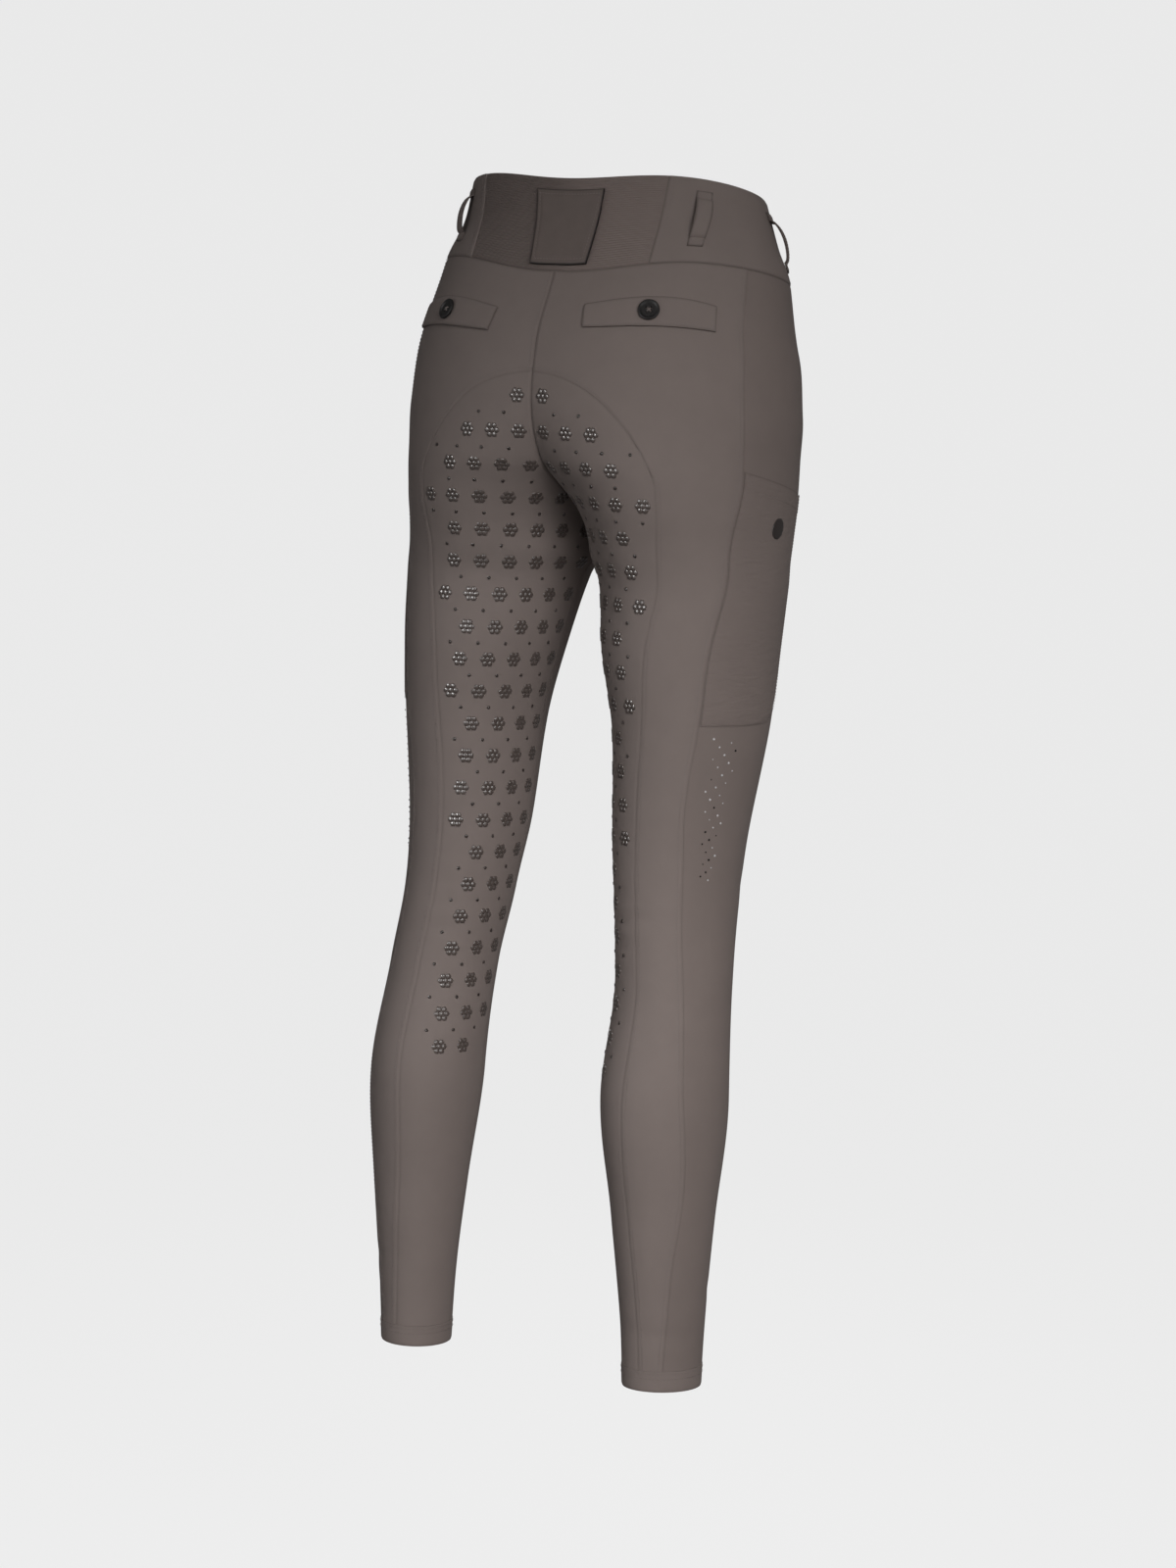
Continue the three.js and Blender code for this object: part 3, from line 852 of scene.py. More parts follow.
def shell(
    name: str,
    outer: np.ndarray,
    inner: np.ndarray,
    grain: np.ndarray,
    seam: np.ndarray,
    faces: list[Face],
) -> bpy.types.Object:
    """Joins two faces of cloth by rims into a closed shell.

    Args:
        name: the piece's name.
        outer: points of the outer face, in millimetres.
        inner: the points behind them.
        grain: each point's place in the cloth, in metres.
        seam: how close each is to a seam, which sets its painted shade.
        faces: the outer face's polygons.

    Returns:
        The object.
    """
    _, first, same = np.unique(np.round(outer, 3), axis=0, return_index=True, return_inverse=True)
    same = same.ravel()
    outer, inner, grain, seam = (part[first] for part in (outer, inner, grain, seam))
    count = len(outer)
    quads = [tuple(dict.fromkeys(int(same[k]) for k in quad)) for quad in faces]
    quads = [quad for quad in quads if len(quad) > 2]
    open_edges: dict[tuple[int, int], None] = {}
    for quad in quads:
        for a, b in zip(quad, quad[1:] + quad[:1]):
            if (b, a) in open_edges:
                del open_edges[(b, a)]
            else:
                open_edges[(a, b)] = None
    back = [tuple(k + count for k in reversed(quad)) for quad in quads]
    rims = [(b, a, a + count, b + count) for a, b in open_edges]
    mesh = smooth_mesh(name, np.concatenate([outer, inner]) * MM, quads + back + rims, 55)
    places = np.concatenate([grain, grain])
    corners = np.zeros(len(mesh.loops), np.int32)
    mesh.loops.foreach_get("vertex_index", corners)
    mesh.uv_layers.new(name="grain").data.foreach_set("uv", places[corners].astype(np.float32).ravel())
    keep(mesh, "seam", np.concatenate([seam, seam]))
    return linked(name, mesh)


def smooth_mesh(name: str, points: np.ndarray, faces: list[Face], sharp: float = 180) -> bpy.types.Mesh:
    """Returns a smooth mesh, but with sharp edges where its faces turn by more than these degrees."""
    mesh = bpy.data.meshes.new(name)
    mesh.from_pydata(points.tolist(), [], faces)
    mesh.shade_smooth()
    mesh.set_sharp_from_angle(angle=math.radians(sharp))
    return mesh


def keep(mesh: bpy.types.Mesh, name: str, values: np.ndarray) -> None:
    """Stores a number or a direction at each point of a mesh."""
    kind, part = ("FLOAT_VECTOR", "vector") if values.ndim > 1 else ("FLOAT", "value")
    stored = mesh.attributes.new(name, kind, "POINT")
    stored.data.foreach_set(part, values.astype(np.float32).ravel())


def linked(name: str, data: bpy.types.ID) -> bpy.types.Object:
    """Returns a new object with this data, in the scene."""
    made = bpy.data.objects.new(name, data)
    bpy.context.scene.collection.objects.link(made)
    return made


def evaluated(piece: bpy.types.Object) -> bpy.types.Mesh:
    """Returns a piece's shape as a mesh of its own."""
    bpy.context.view_layer.update()
    return bpy.data.meshes.new_from_object(piece.evaluated_get(bpy.context.evaluated_depsgraph_get()))


def settle(piece: bpy.types.Object, slot: str, *nodes: str) -> None:
    """Rides a piece on the body and lets it stand for these nodes."""
    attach(piece, BODY)
    if nodes:
        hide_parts(*nodes)


def line(level: Numbers, arc: Numbers) -> Spots:
    """Returns a path on the half through these places."""
    levels, arcs = np.broadcast_arrays(np.asarray(level, float), np.asarray(arc, float))
    return Spots(levels, arcs)


INSERT_REACH = {Side.L: 92.5, Side.R: 81.0}
INSERT_FLARE = 4.0


def insert_reach(side: Side, level: Numbers) -> np.ndarray:
    """Returns how far the elastic reaches round from the back seam, a little further at the top."""
    up = (level - WAIST_SEAM) / (WAIST_TOP - WAIST_SEAM)
    return INSERT_REACH[side] + INSERT_FLARE * up**2


class Seams:
    """The seams that divide the body of the garment, as paths on one half."""

    FINE = 200

    def __init__(self) -> None:
        """Works out every path."""
        whole = np.linspace(WAIST_SEAM, HEM_SEAM, 3 * self.FINE)
        body = np.linspace(WAIST_SEAM, FORK, self.FINE)
        leg = np.linspace(FORK, HEM_SEAM, 2 * self.FINE)
        below_arch = np.linspace(ARCH_FOOT, HEM_SEAM, 3 * self.FINE)
        part = np.sin(np.linspace(0, math.pi / 2, self.FINE)) ** 2
        over = arch_level(part)
        shares = np.linspace(0, 1, self.FINE)
        band = np.linspace(WAIST_TOP, WAIST_SEAM, self.FINE // 2)
        self.side = line(whole, side_arc(whole))
        self.seat = line(below_arch, seat_arc(below_arch))
        self.arch = line(over, seat_arc(over) + (FORM.girth(over) - seat_arc(over)) * part)
        self.back_middle = line(body, FORM.girth(body))
        self.front_middle = line(body, 0 * body)
        self.inseam_front = line(leg, 0 * leg)
        self.inseam_back = line(leg, FORM.girth(leg))
        self.waist = line(WAIST_SEAM, FORM.girth(WAIST_SEAM) * shares)
        self.hem = line(HEM_SEAM, FORM.girth(HEM_SEAM) * shares)
        back = FORM.girth(band)
        self.insert = {side: line(band, back - insert_reach(side, band)) for side in Side}


@dataclass
class Panels:
    """The body of the garment: front, back and seat panels and the hem bands."""

    seams: Seams
    row: float = 4.0
    column: float = 4.5
    back_width: float = 200.0
    seat_width: float = 110.0
    hem_row: float = 2.2
    hem_columns: int = 90
    hem_high: float = 0.4

    def _leg_rows(self) -> np.ndarray:
        """Returns the levels of the rows below the fork."""
        return rows_down(FORK, HEM_SEAM + SEAM_GAP / 2, self.row)

    def _hip_rows(self) -> np.ndarray:
        """Returns the levels of the rows from the waist seam to the arch's foot."""
        return rows_down(WAIST_SEAM - SEAM_GAP / 2, ARCH_FOOT, self.row)

    def _side_rows(self) -> np.ndarray:
        """Returns the levels of the rows of a panel that runs the whole length."""
        seat = rows_down(ARCH_FOOT, FORK, self.row)
        return np.concatenate([self._hip_rows(), seat[1:], self._leg_rows()[1:]])

    def _strip(self, level: Numbers, start: np.ndarray, end: np.ndarray) -> Spots:
        """Returns the grid between two edges, at these levels."""
        return in_rows(level, start[:, None] + steps_across(end - start, self.column))

    def front(self) -> Spots:
        """Returns the front panel's grid."""
        level = self._side_rows()
        gap = np.where(level <= FORK, SEAM_GAP / 2, 0)
        return self._strip(level, gap, side_arc(level) - SEAM_GAP / 2)

    def outer_back(self) -> list[Spots]:
        """Returns the grids of the back panel: the strip beside the side seam, and over the arch."""
        level = self._side_rows()
        strip = self._strip(level, side_arc(level) + SEAM_GAP / 2, seat_arc(level) - SEAM_GAP / 2)
        part = steps_across(self.back_width, self.column) / self.back_width
        top = WAIST_SEAM - SEAM_GAP / 2
        foot = arch_level(part) + np.where(part > 0, SEAM_GAP / 2, 0)
        down = steps_across(top - foot, self.row).T
        level = top - down
        start = seat_arc(level) - SEAM_GAP / 2
        return [strip, Spots(level, start + (FORM.girth(level) - start) * part)]

    def seat(self) -> Spots:
        """Returns the seat panel's grid: under the arch and down the inner leg."""
        shares = steps_across(self.seat_width, self.column) / self.seat_width
        top = arch_level(shares) - np.where(shares > 0, SEAM_GAP / 2, 0)
        upper = top - steps_across(top - FORK, self.row).T
        leg = self._leg_rows()[1:]
        level = np.concatenate([upper, np.broadcast_to(leg[:, None], (len(leg), len(shares)))])
        start = seat_arc(level) + SEAM_GAP / 2
        end = FORM.girth(level) - np.where(level <= FORK, SEAM_GAP / 2, 0)
        return Spots(level, start + (end - start) * shares)

    def hem(self) -> Spots:
        """Returns the hem band's grid, which closes round the leg."""
        level = rows_down(HEM_SEAM - SEAM_GAP / 2, HEM, self.hem_row)
        return in_rows(level, FORM.girth(level)[:, None] * np.linspace(0, 1, self.hem_columns))

    def build(self) -> None:
        """Makes every panel on both halves."""
        s = self.seams
        # Each edge's tone sets the painted shade along its seam.
        waist = Edge(s.waist, sink=0.5, tone=0.55)
        middle = Edge(s.back_middle, sink=0.4, tone=0.5, pad=0.2, turning=4.5)
        front_edges = [Edge(s.side), waist, Edge(s.front_middle, pad=0.2), Edge(s.inseam_front)]
        back_edges = [
            Edge(s.side, pad=0.15),
            Edge(s.seat, tone=0.12, pad=0.15),
            Edge(s.arch, sink=0.2, tone=0.12, pad=0.15),
            waist,
            middle,
        ]
        seat_edges = [
            Edge(s.seat, tone=0.12),
            Edge(s.arch, sink=0.2, tone=0.12),
            middle,
            Edge(s.inseam_back, pad=0.15),
        ]
        fold = [Edge(line(HEM, s.hem.arc), sink=0.5, roll=1.2)]
        kinds = (
            ("front_panel", "front", [self.front()], FRONT_CLOTH, FRONT_CUT, front_edges, 0.0),
            ("back_panel", "back", self.outer_back(), CLOTH, BACK_CUT, back_edges, 0.0),
            ("seat_panel", "seat", [self.seat()], CLOTH, SEAT_CUT, seat_edges, 0.0),
            ("hem_band", "hem", [self.hem()], CLOTH, HEM_CUT, fold, self.hem_high),
        )
        for side in Side:
            end = side.name
            for name, node, grids, finish, cut, edges, high in kinds:
                piece = Cloth(f"{name}_{end}", grids, finish, f"{node}_{end}", cut)
                piece.high, piece.edges = high, edges
                piece.build(side)


@dataclass
class Waistband:
    """The high band: a ribbed insert at the back and firm cloth round to the front."""

    seams: Seams
    row: float = 3.0
    column: float = 4.0
    insert_column: float = 3.6
    high: float = 0.3
    insert_low: float = -2.0

    def _rows(self) -> np.ndarray:
        """Returns the levels of the band's rows."""
        return rows_down(WAIST_TOP, WAIST_SEAM + SEAM_GAP / 2, self.row)

    def _side(self, side: Side) -> Spots:
        """Returns the grid from the middle of the front to the insert."""
        level = self._rows()
        width = FORM.girth(level) - insert_reach(side, level) - SEAM_GAP / 2
        return in_rows(level, steps_across(width, self.column))

    def build(self) -> None:
        """Makes the insert, in one piece across the back, and both sides of the band."""
        # The band's seams carry painted shade, deepest beside the insert.
        top = Edge(line(WAIST_TOP, self.seams.waist.arc), sink=0.6)
        foot = Edge(self.seams.waist, sink=0.6, tone=0.55)
        front = Edge(line(self._rows(), 0.0))
        for side in Side:
            padded = Edge(self.seams.insert[side], sink=0.5, tone=0.6, pad=0.3, turning=7.0)
            node = f"waistband_side_{side.name}"
            piece = Cloth(f"band_{side.name}", [self._side(side)], CLOTH, node, BAND_CUT)
            piece.high, piece.edges = self.high, [top, foot, padded, front]
            piece.build(side)
        insert = Across("band_insert", self._insert(), RIB, "waistband_back", INSERT_CUT, "rib")
        insert.low, insert.edges = self.insert_low, [top, foot]
        insert.build()

    def _insert(self) -> Spots:
        """Returns the insert's grid, with signed distances from the back middle."""
        level = self._rows()
        left = insert_reach(Side.L, level) - SEAM_GAP / 2
        right = insert_reach(Side.R, level) - SEAM_GAP / 2
        return in_rows(level, left[:, None] - steps_across(left + right, self.insert_column))


@dataclass
class Across:
    """Cloth across the middle. Its grid holds signed distances from it, and below 0 is the right."""

    name: str
    grid: Spots
    finish: Finish
    node: str
    cut: Cut | None
    slot: str
    low: float = LAID_ON
    high: float = 0.0
    edges: list[Edge] = field(default_factory=list)
    at_front: bool = False
    shape: Callable[[Spots], np.ndarray] | None = None
    rim: Callable[[Spots], np.ndarray] | None = None

    def _half(self, spots: Spots) -> Spots:
        """Returns the places as they are on their own half."""
        away = np.abs(spots.arc)
        return Spots(spots.level, away if self.at_front else FORM.girth(spots.level) - away)

    def build(self) -> None:
        """Makes the piece."""
        spots = self.grid.flat()
        outer = np.zeros((spots.arc.size, 3))
        inner, near = outer.copy(), np.zeros(spots.arc.size)
        for side in Side:
            mine = np.sign(spots.arc) * side.value >= 0
            signed = Spots(spots.level[mine], spots.arc[mine])
            own = self._half(signed)
            lift, close = seamed(on_cloth(own, side), side, self.edges)
            near[mine] = np.maximum(near[mine], close)
            lift += self.high
            if self.shape:
                lift += self.shape(signed)
            outer[mine] = on_cloth(own, side, lift)
            inner[mine] = on_cloth(own, side, lift - (self.high - self.low))
        # A rim, where given, sets the painted shade along the edges in place of the seams'.
        if self.rim:
            near = self.rim(spots)
        grain = np.stack([spots.arc, spots.level], axis=1) * MM
        faces = grid_faces(self.grid.level.shape, 0, False)
        made = shell(self.name, outer, inner, grain, near, faces)
        dress(made, self.finish, self.node, self.slot)


@dataclass
class ThighPockets:
    """Patch pockets for a phone, with the back edge in the side seam and a slanted mouth."""

    width: float = 104.0
    top: float = -194.0
    slant: float = 0.21
    bottom: float = -400.0
    corner: float = 34.0
    low: float = 0.1
    wall: float = 0.8
    mouth_hem: float = 14.0
    back: float = 1.0
    row: float = 3.8
    column: float = 3.6

    def _mouth(self, ahead: Numbers) -> np.ndarray:
        """Returns the mouth's level at a distance ahead of the side seam."""
        return self.top - self.slant * ahead

    def _foot(self, ahead: np.ndarray) -> np.ndarray:
        """Returns the bottom edge's level there, round the front corner."""
        inside = np.maximum(0, ahead - (self.width - self.corner)) / self.corner
        return self.bottom + self.corner * (1 - np.sqrt(np.maximum(0, 1 - inside**2)))

    def _spots(self, level: Numbers, ahead: Numbers) -> Spots:
        """Returns the places on the half at these levels and distances ahead of the side seam."""
        return Spots(level, side_arc(level) - ahead)

    def grid(self) -> Spots:
        """Returns the pocket's grid."""
        ahead = self.width - steps_across(self.width - self.back, self.column)
        mouth = self._mouth(ahead)
        level = mouth - steps_across(mouth - self._foot(ahead), self.row).T
        return self._spots(level, np.broadcast_to(ahead, level.shape))

    def outline(self) -> dict[str, Spots]:
        """Returns the pocket's edges as paths."""
        ahead = np.linspace(self.back, self.width, 60)
        side_level = np.linspace(self.top, self.bottom, 90)
        front_level = np.linspace(self._mouth(self.width), self.bottom + self.corner, 90)
        return {
            "mouth": self._spots(self._mouth(ahead), ahead),
            "foot": self._spots(self._foot(ahead), ahead),
            "seam": self._spots(side_level, self.back),
            "front": self._spots(front_level, self.width),
        }

    def inset(self, by: float) -> Spots:
        """Returns the stitch line inside the front and bottom edges."""
        bottom, corner = self.bottom + by, self.corner - by
        inner = replace(self, width=self.width - by, bottom=bottom, corner=corner).outline()
        pairs = zip(inner["front"], inner["foot"])
        return Spots(*(np.concatenate([front, foot[::-1]]) for front, foot in pairs))

    def mouth_line(self, by: float) -> Spots:
        """Returns the stitch line below the mouth."""
        ahead = np.linspace(3, self.width - 3, 50)
        return self._spots(self._mouth(ahead) - by, ahead)

    def _swell(self, spots: Spots) -> np.ndarray:
        """Returns the lift of the mouth's turned hem and of the cloth standing off a little."""
        ahead = side_arc(spots.level) - spots.arc
        below = self._mouth(ahead) - spots.level
        height = np.maximum(1, self._mouth(ahead) - self._foot(ahead))
        across = np.sin(np.pi * np.clip(ahead / self.width, 0, 1))
        down = np.sin(np.pi * np.clip(below / height, 0, 1))
        hem = np.clip((self.mouth_hem - below) / 1.5, 0, 1)
        gape = np.exp(-below / 22) * across
        return 0.4 * across * down + 0.2 * hem + 0.5 * gape

    def top_lift(self, spots: Spots) -> np.ndarray:
        """Returns the lift of the pocket's outer face off the body's own surface."""
        return self.low + self.wall + self._swell(spots)

    def build(self) -> None:
        """Makes both pockets."""
        outline = self.outline()
        # The pocket's edges carry painted shade, strongest at the mouth.
        edges = [
            Edge(outline["mouth"], sink=0.3, tone=0.6),
            Edge(outline["seam"], sink=0.35, tone=0.35),
            Edge(outline["front"], sink=0.5, roll=1.6, tone=0.3),
            Edge(outline["foot"], sink=0.8, roll=3.0, tone=0.1),
        ]
        for side in Side:
            name, node = f"phone_pocket_{side.name}", f"thigh_pocket_{side.name}"
            piece = Cloth(name, [self.grid()], POCKET_CLOTH, node, POCKET_CUT, edges=edges)
            piece.low, piece.high, piece.shape = self.low, self.low + self.wall, self._swell
            piece.build(side)


class FlapPlace(NamedTuple):
    """A flap's ends as distances from the back seam, and its edges' levels in its middle."""

    inner: float
    outer: float
    top: float
    bottom: float


@dataclass
class BackPockets:
    """Back pocket flaps, sewn in along an arched top edge and buttoned. The ends lean in to the top."""

    left: FlapPlace = FlapPlace(45.5, 157.0, -69.0, -91.0)
    right: FlapPlace = FlapPlace(38.5, 147.0, -64.0, -86.0)
    slant: float = -0.2
    lean: float = -2.4
    arch: float = 4.0
    sag: float = 0.9
    wall: float = 1.5
    row: float = 2.4
    column: float = 3.0

    def _place(self, side: Side) -> FlapPlace:
        """Returns the place of one side's flap."""
        return self.left if side is Side.L else self.right

    def spots(self, side: Side, off: Numbers, down: Numbers) -> Spots:
        """Returns places on a flap.

        Args:
            side: the half it is on.
            off: from -1 at the inner end to 1 at the outer one.
            down: from 0 at the top edge to 1 at the bottom.

        Returns:
            The places.
        """
        place = self._place(side)
        top = place.top + self.lean * off - self.arch * off**2
        foot = place.bottom + self.lean * off - self.sag * off**2
        level = top + (foot - top) * down
        middle, reach = (place.inner + place.outer) / 2, (place.outer - place.inner) / 2
        out = middle + reach * off + self.slant * (level - (place.top + place.bottom) / 2)
        return Spots(level, FORM.girth(level) - out)

    def outline(self, side: Side, by: float = 0.0) -> list[tuple[Spots, np.ndarray]]:
        """Returns the edges as paths, or lines inside them, each with how far down it runs."""
        place = self._place(side)
        in_down = by / (place.top - place.bottom)
        in_off = 2 * by / (place.outer - place.inner)
        along = np.linspace(-1 + in_off, 1 - in_off, 60)
        across = np.linspace(in_down, 1 - in_down, 16)
        runs = [(along, 0 * along + 1 - in_down), (0 * across - 1 + in_off, across)]
        runs += [(0 * across + 1 - in_off, across), (along, 0 * along + in_down)]
        return [(self.spots(side, off, down), down) for off, down in runs]

    @staticmethod
    def stand(down: np.ndarray) -> np.ndarray:
        """Returns the lift of the free lower edge over the sewn top edge."""
        return -0.7 * (1 - np.clip(down / 0.25, 0, 1)) ** 2 + 0.5 * down**2

    def build(self) -> None:
        """Makes both flaps and their buttons."""
        for side in Side:
            end, place = side.name, self._place(side)
            reach, high = (place.outer - place.inner) / 2, place.top - place.bottom
            off = 1 - steps_across(2 * reach, self.column) / reach
            downs, offs = np.meshgrid(steps_across(high, self.row) / high, off, indexing="ij")
            # The flap's edges carry painted shade.
            edges = [Edge(path, sink=0.45, roll=1.1, tone=0.6) for path, _ in self.outline(side)]
            grid = self.spots(side, offs, downs)
            piece = Cloth(f"back_flap_{end}", [grid], CLOTH, f"pocket_flap_{end}", FLAP_CUT)
            piece.low, piece.high, piece.edges = LAID_ON, LAID_ON + self.wall, edges
            piece.shape = lambda _, down=downs.ravel(): self.stand(down)
            piece.build(side)
            button = Button(f"flap_button_{end}", f"pocket_button_{end}", self.spots(side, 0.0, 0.5))
            button.side, button.lift = side, 2 * LAID_ON + self.wall
            button.build()


@dataclass
class Button:
    """A four-hole horn button with its thread, its back to the body."""

    name: str
    node: str
    place: Spots
    side: Side = Side.L
    lift: float = 0.0
    radius: float = 8.7
    thickness: float = 2.6
    dish: float = 1.1
    rim: float = 1.7
    hole: float = 1.0
    hole_off: float = 1.75 * math.sqrt(2)
    segments: int = 48
    thread: float = 0.34
    bar_off: float = 0.35

    def _profile(self) -> list[tuple[float, float]]:
        """Returns the rim's section: radius and height, from the dish out and back underneath."""
        r, t, w = self.radius, self.thickness, self.rim
        turn = [math.radians(a) for a in range(0, 181, 20)]
        crest = [(r - w / 2 - w / 2 * math.cos(a), t - 0.5 + 0.5 * math.sin(a)) for a in turn]
        return [(r - w - 1.2, t - self.dish), *crest, (r, 0.8), (r - 0.8, 0.1), (r - w - 1.2, 0.0)]

    def _ring(self) -> bpy.types.Mesh:
        """Returns the rim, turned about the middle."""
        profile = np.array(self._profile())
        count, around = len(profile), self.segments
        turns = np.linspace(0, 2 * np.pi, around, endpoint=False)[:, None]
        reach, up = profile[:, 0], profile[:, 1] + 0 * turns
        points = np.stack([reach * np.cos(turns), reach * np.sin(turns), up], axis=-1).reshape(-1, 3)
        faces = []
        for k in range(around):
            here, there = k * count, (k + 1) % around * count
            steps = ((j, (j + 1) % count) for j in range(count))
            faces += [(here + j, there + j, there + n, here + n) for j, n in steps]
        return smooth_mesh(f"{self.name}_ring", points, faces)

    def _plate(self) -> bpy.types.Mesh:
        """Returns the dished middle, pierced by four holes."""
        drawn = bpy.data.curves.new(f"{self.name}_plate", "CURVE")
        drawn.dimensions = "2D"
        drawn.fill_mode = "BOTH"
        drawn.extrude = (self.thickness - 1.2) / 2
        drawn.bevel_depth = 0.12
        drawn.bevel_resolution = 1
        self._circle(drawn, 0.0, 0.0, self.radius - self.rim - 0.7, 40)
        for k in range(4):
            a = math.radians(45 + 90 * k)
            self._circle(drawn, self.hole_off * math.cos(a), self.hole_off * math.sin(a), self.hole, 16)
        piece = linked(drawn.name, drawn)
        flat = evaluated(piece)
        bpy.data.objects.remove(piece)
        bpy.data.curves.remove(drawn)
        flat.transform(Matrix.Translation((0, 0, (self.thickness - self.dish) / 2 + 0.05)))
        return flat

    @staticmethod
    def _circle(drawn: bpy.types.Curve, x: float, y: float, radius: float, steps: int) -> None:
        """Adds a circle to a flat curve."""
        ring = drawn.splines.new("POLY")
        ring.points.add(steps - 1)
        for k in range(steps):
            a = 2 * math.pi * k / steps
            ring.points[k].co = (x + radius * math.cos(a), y + radius * math.sin(a), 0, 1)
        ring.use_cyclic_u = True

    def _threads(self) -> bpy.types.Mesh:
        """Returns two crossed pairs of bars of thread over the holes."""
        points: list[Point] = []
        faces: list[Face] = []
        for angle in (45, 135):
            for shift in (-self.bar_off, self.bar_off):
                self._add_bar(points, faces, math.radians(angle), shift)
        return smooth_mesh(f"{self.name}_thread", np.array(points), faces)

    def _add_bar(self, points: list[Point], faces: list[Face], angle: float, shift: float) -> None:
        """Adds a bowed bar of thread, six-sided, between two opposite holes."""
        steps, sides = 8, 6
        start, top = len(points), self.thickness - self.dish + self.bar_off
        for k in range(steps + 1):
            t = -1 + 2 * k / steps
            rise = top - 1.5 * abs(t) ** 6
            for j in range(sides):
                a = 2 * math.pi * j / sides
                along, across = self.hole_off * t, shift + self.thread * math.cos(a)
                x = along * math.cos(angle) - across * math.sin(angle)
                y = along * math.sin(angle) + across * math.cos(angle)
                points.append((x, y, rise + self.thread * math.sin(a)))
        for a in range(start, start + steps * sides, sides):
            turns = ((j, (j + 1) % sides) for j in range(sides))
            faces += [(a + j, a + n, a + sides + n, a + sides + j) for j, n in turns]
        faces.append(tuple(start + j for j in range(sides))[::-1])
        faces.append(tuple(start + steps * sides + j for j in range(sides)))

    def _stand(self) -> Matrix:
        """Returns the turn and place of the button on the cloth."""
        foot = on_cloth(self.place, self.side, self.lift)
        out = Vector(outward(self.place, self.side).tolist())
        turn = out.to_track_quat("Z", "Y").to_matrix().to_4x4()
        return Matrix.Translation(Vector((foot * MM).tolist())) @ turn @ Matrix.Scale(MM, 4)

    def build(self) -> None:
        """Makes the button and its thread as two pieces."""
        whole = joined(self.name, [self._plate(), self._ring()], 40)
        thread = self._threads()
        for mesh, finish in ((whole, HORN), (thread, THREAD)):
            mesh.transform(self._stand())
            mesh.materials.append(finish.material())
        settle(linked(self.name, whole), "horn", self.node)
        settle(linked(thread.name, thread), "cloth")
        log.info("%s: %d faces", self.name, len(whole.polygons))


def joined(name: str, meshes: Sequence[bpy.types.Mesh], sharp: float) -> bpy.types.Mesh:
    """Returns one mesh of all these, which are then removed."""
    points: list[Point] = []
    faces: list[Face] = []
    for mesh in meshes:
        start = len(points)
        points += [tuple(v.co) for v in mesh.vertices]
        faces += [tuple(start + k for k in face.vertices) for face in mesh.polygons]
        bpy.data.meshes.remove(mesh)
    return smooth_mesh(name, np.array(points), faces, sharp)


@dataclass
class BeltLoop:
    """A folded strap sewn flat at both ends and standing off the band between them."""

    name: str
    node: str
    out: dict[Side, float]
    top: float
    bottom: float
    from_front: bool = False
    width: float = 13.0
    wall: float = 1.7
    stand: float = 6.4
    sewn: float = 0.14
    column: float = 1.6

    def spots(self, side: Side, down: Numbers, off: Numbers) -> Spots:
        """Returns places on the strap, by share of its length and distance off its middle."""
        level = self.top + (self.bottom - self.top) * down
        out = self.out[side]
        middle = out if self.from_front else FORM.girth(level) - out
        return line(level, middle + off)

    def lift(self, down: Numbers) -> Numbers:
        """Returns the underside's lift off the band."""
        free = np.clip((down - self.sewn) / (1 - 2 * self.sewn), 0, 1)
        return LAID_ON + self.stand * np.sqrt(np.sin(np.pi * free))

    def build(self, side: Side) -> None:
        """Makes the loop on one half, with the sewn edges rounded and painted shade along its edges."""
        down = np.concatenate([[0, 0.012, 0.03], np.linspace(0.06, 0.94, 45), [0.97, 0.988, 1]])
        off = -self.width / 2 + steps_across(self.width, self.column)
        downs, offs = np.meshgrid(down, off, indexing="ij")
        spots = self.spots(side, downs, offs)
        edge = np.minimum(self.width / 2 - np.abs(offs), self.width / 2)
        end = np.minimum(downs, 1 - downs) * (self.top - self.bottom)
        soft = 0.5 * np.exp(-((edge / 1.2) ** 2)) + 0.5 * np.exp(-((end / 0.9) ** 2))
        groove = 0.18 * np.exp(-(((np.abs(offs) - self.width / 2 + 2.2) / 0.5) ** 2))
        high = self.lift(downs) + self.wall - soft - groove
        low = self.lift(downs) + 0.3 * soft
        outer, inner = (on_cloth(spots.flat(), side, lift.ravel()) for lift in (high, low))
        grain = np.stack([offs.ravel(), spots.level.ravel()], axis=1) * MM
        # Painted shade along the loop's rounded sides and sewn ends.
        seam = np.minimum(1, 1.7 * soft.ravel())
        faces = grid_faces(downs.shape, 0, side is Side.R)
        made = shell(f"{self.name}_{side.name}", outer, inner, grain, seam, faces)
        dress(made, CLOTH, f"{self.node}_{side.name}")


def along_corners(corners: Sequence[tuple[float, float]]) -> Spots:
    """Returns a path through corners, each a level and a distance with a sign."""
    table = np.array(corners, float)
    steps = np.linspace(0, len(table) - 1, 24 * (len(table) - 1) + 1)
    numbers = np.arange(len(table))
    return Spots(np.interp(steps, numbers, table[:, 0]), np.interp(steps, numbers, table[:, 1]))


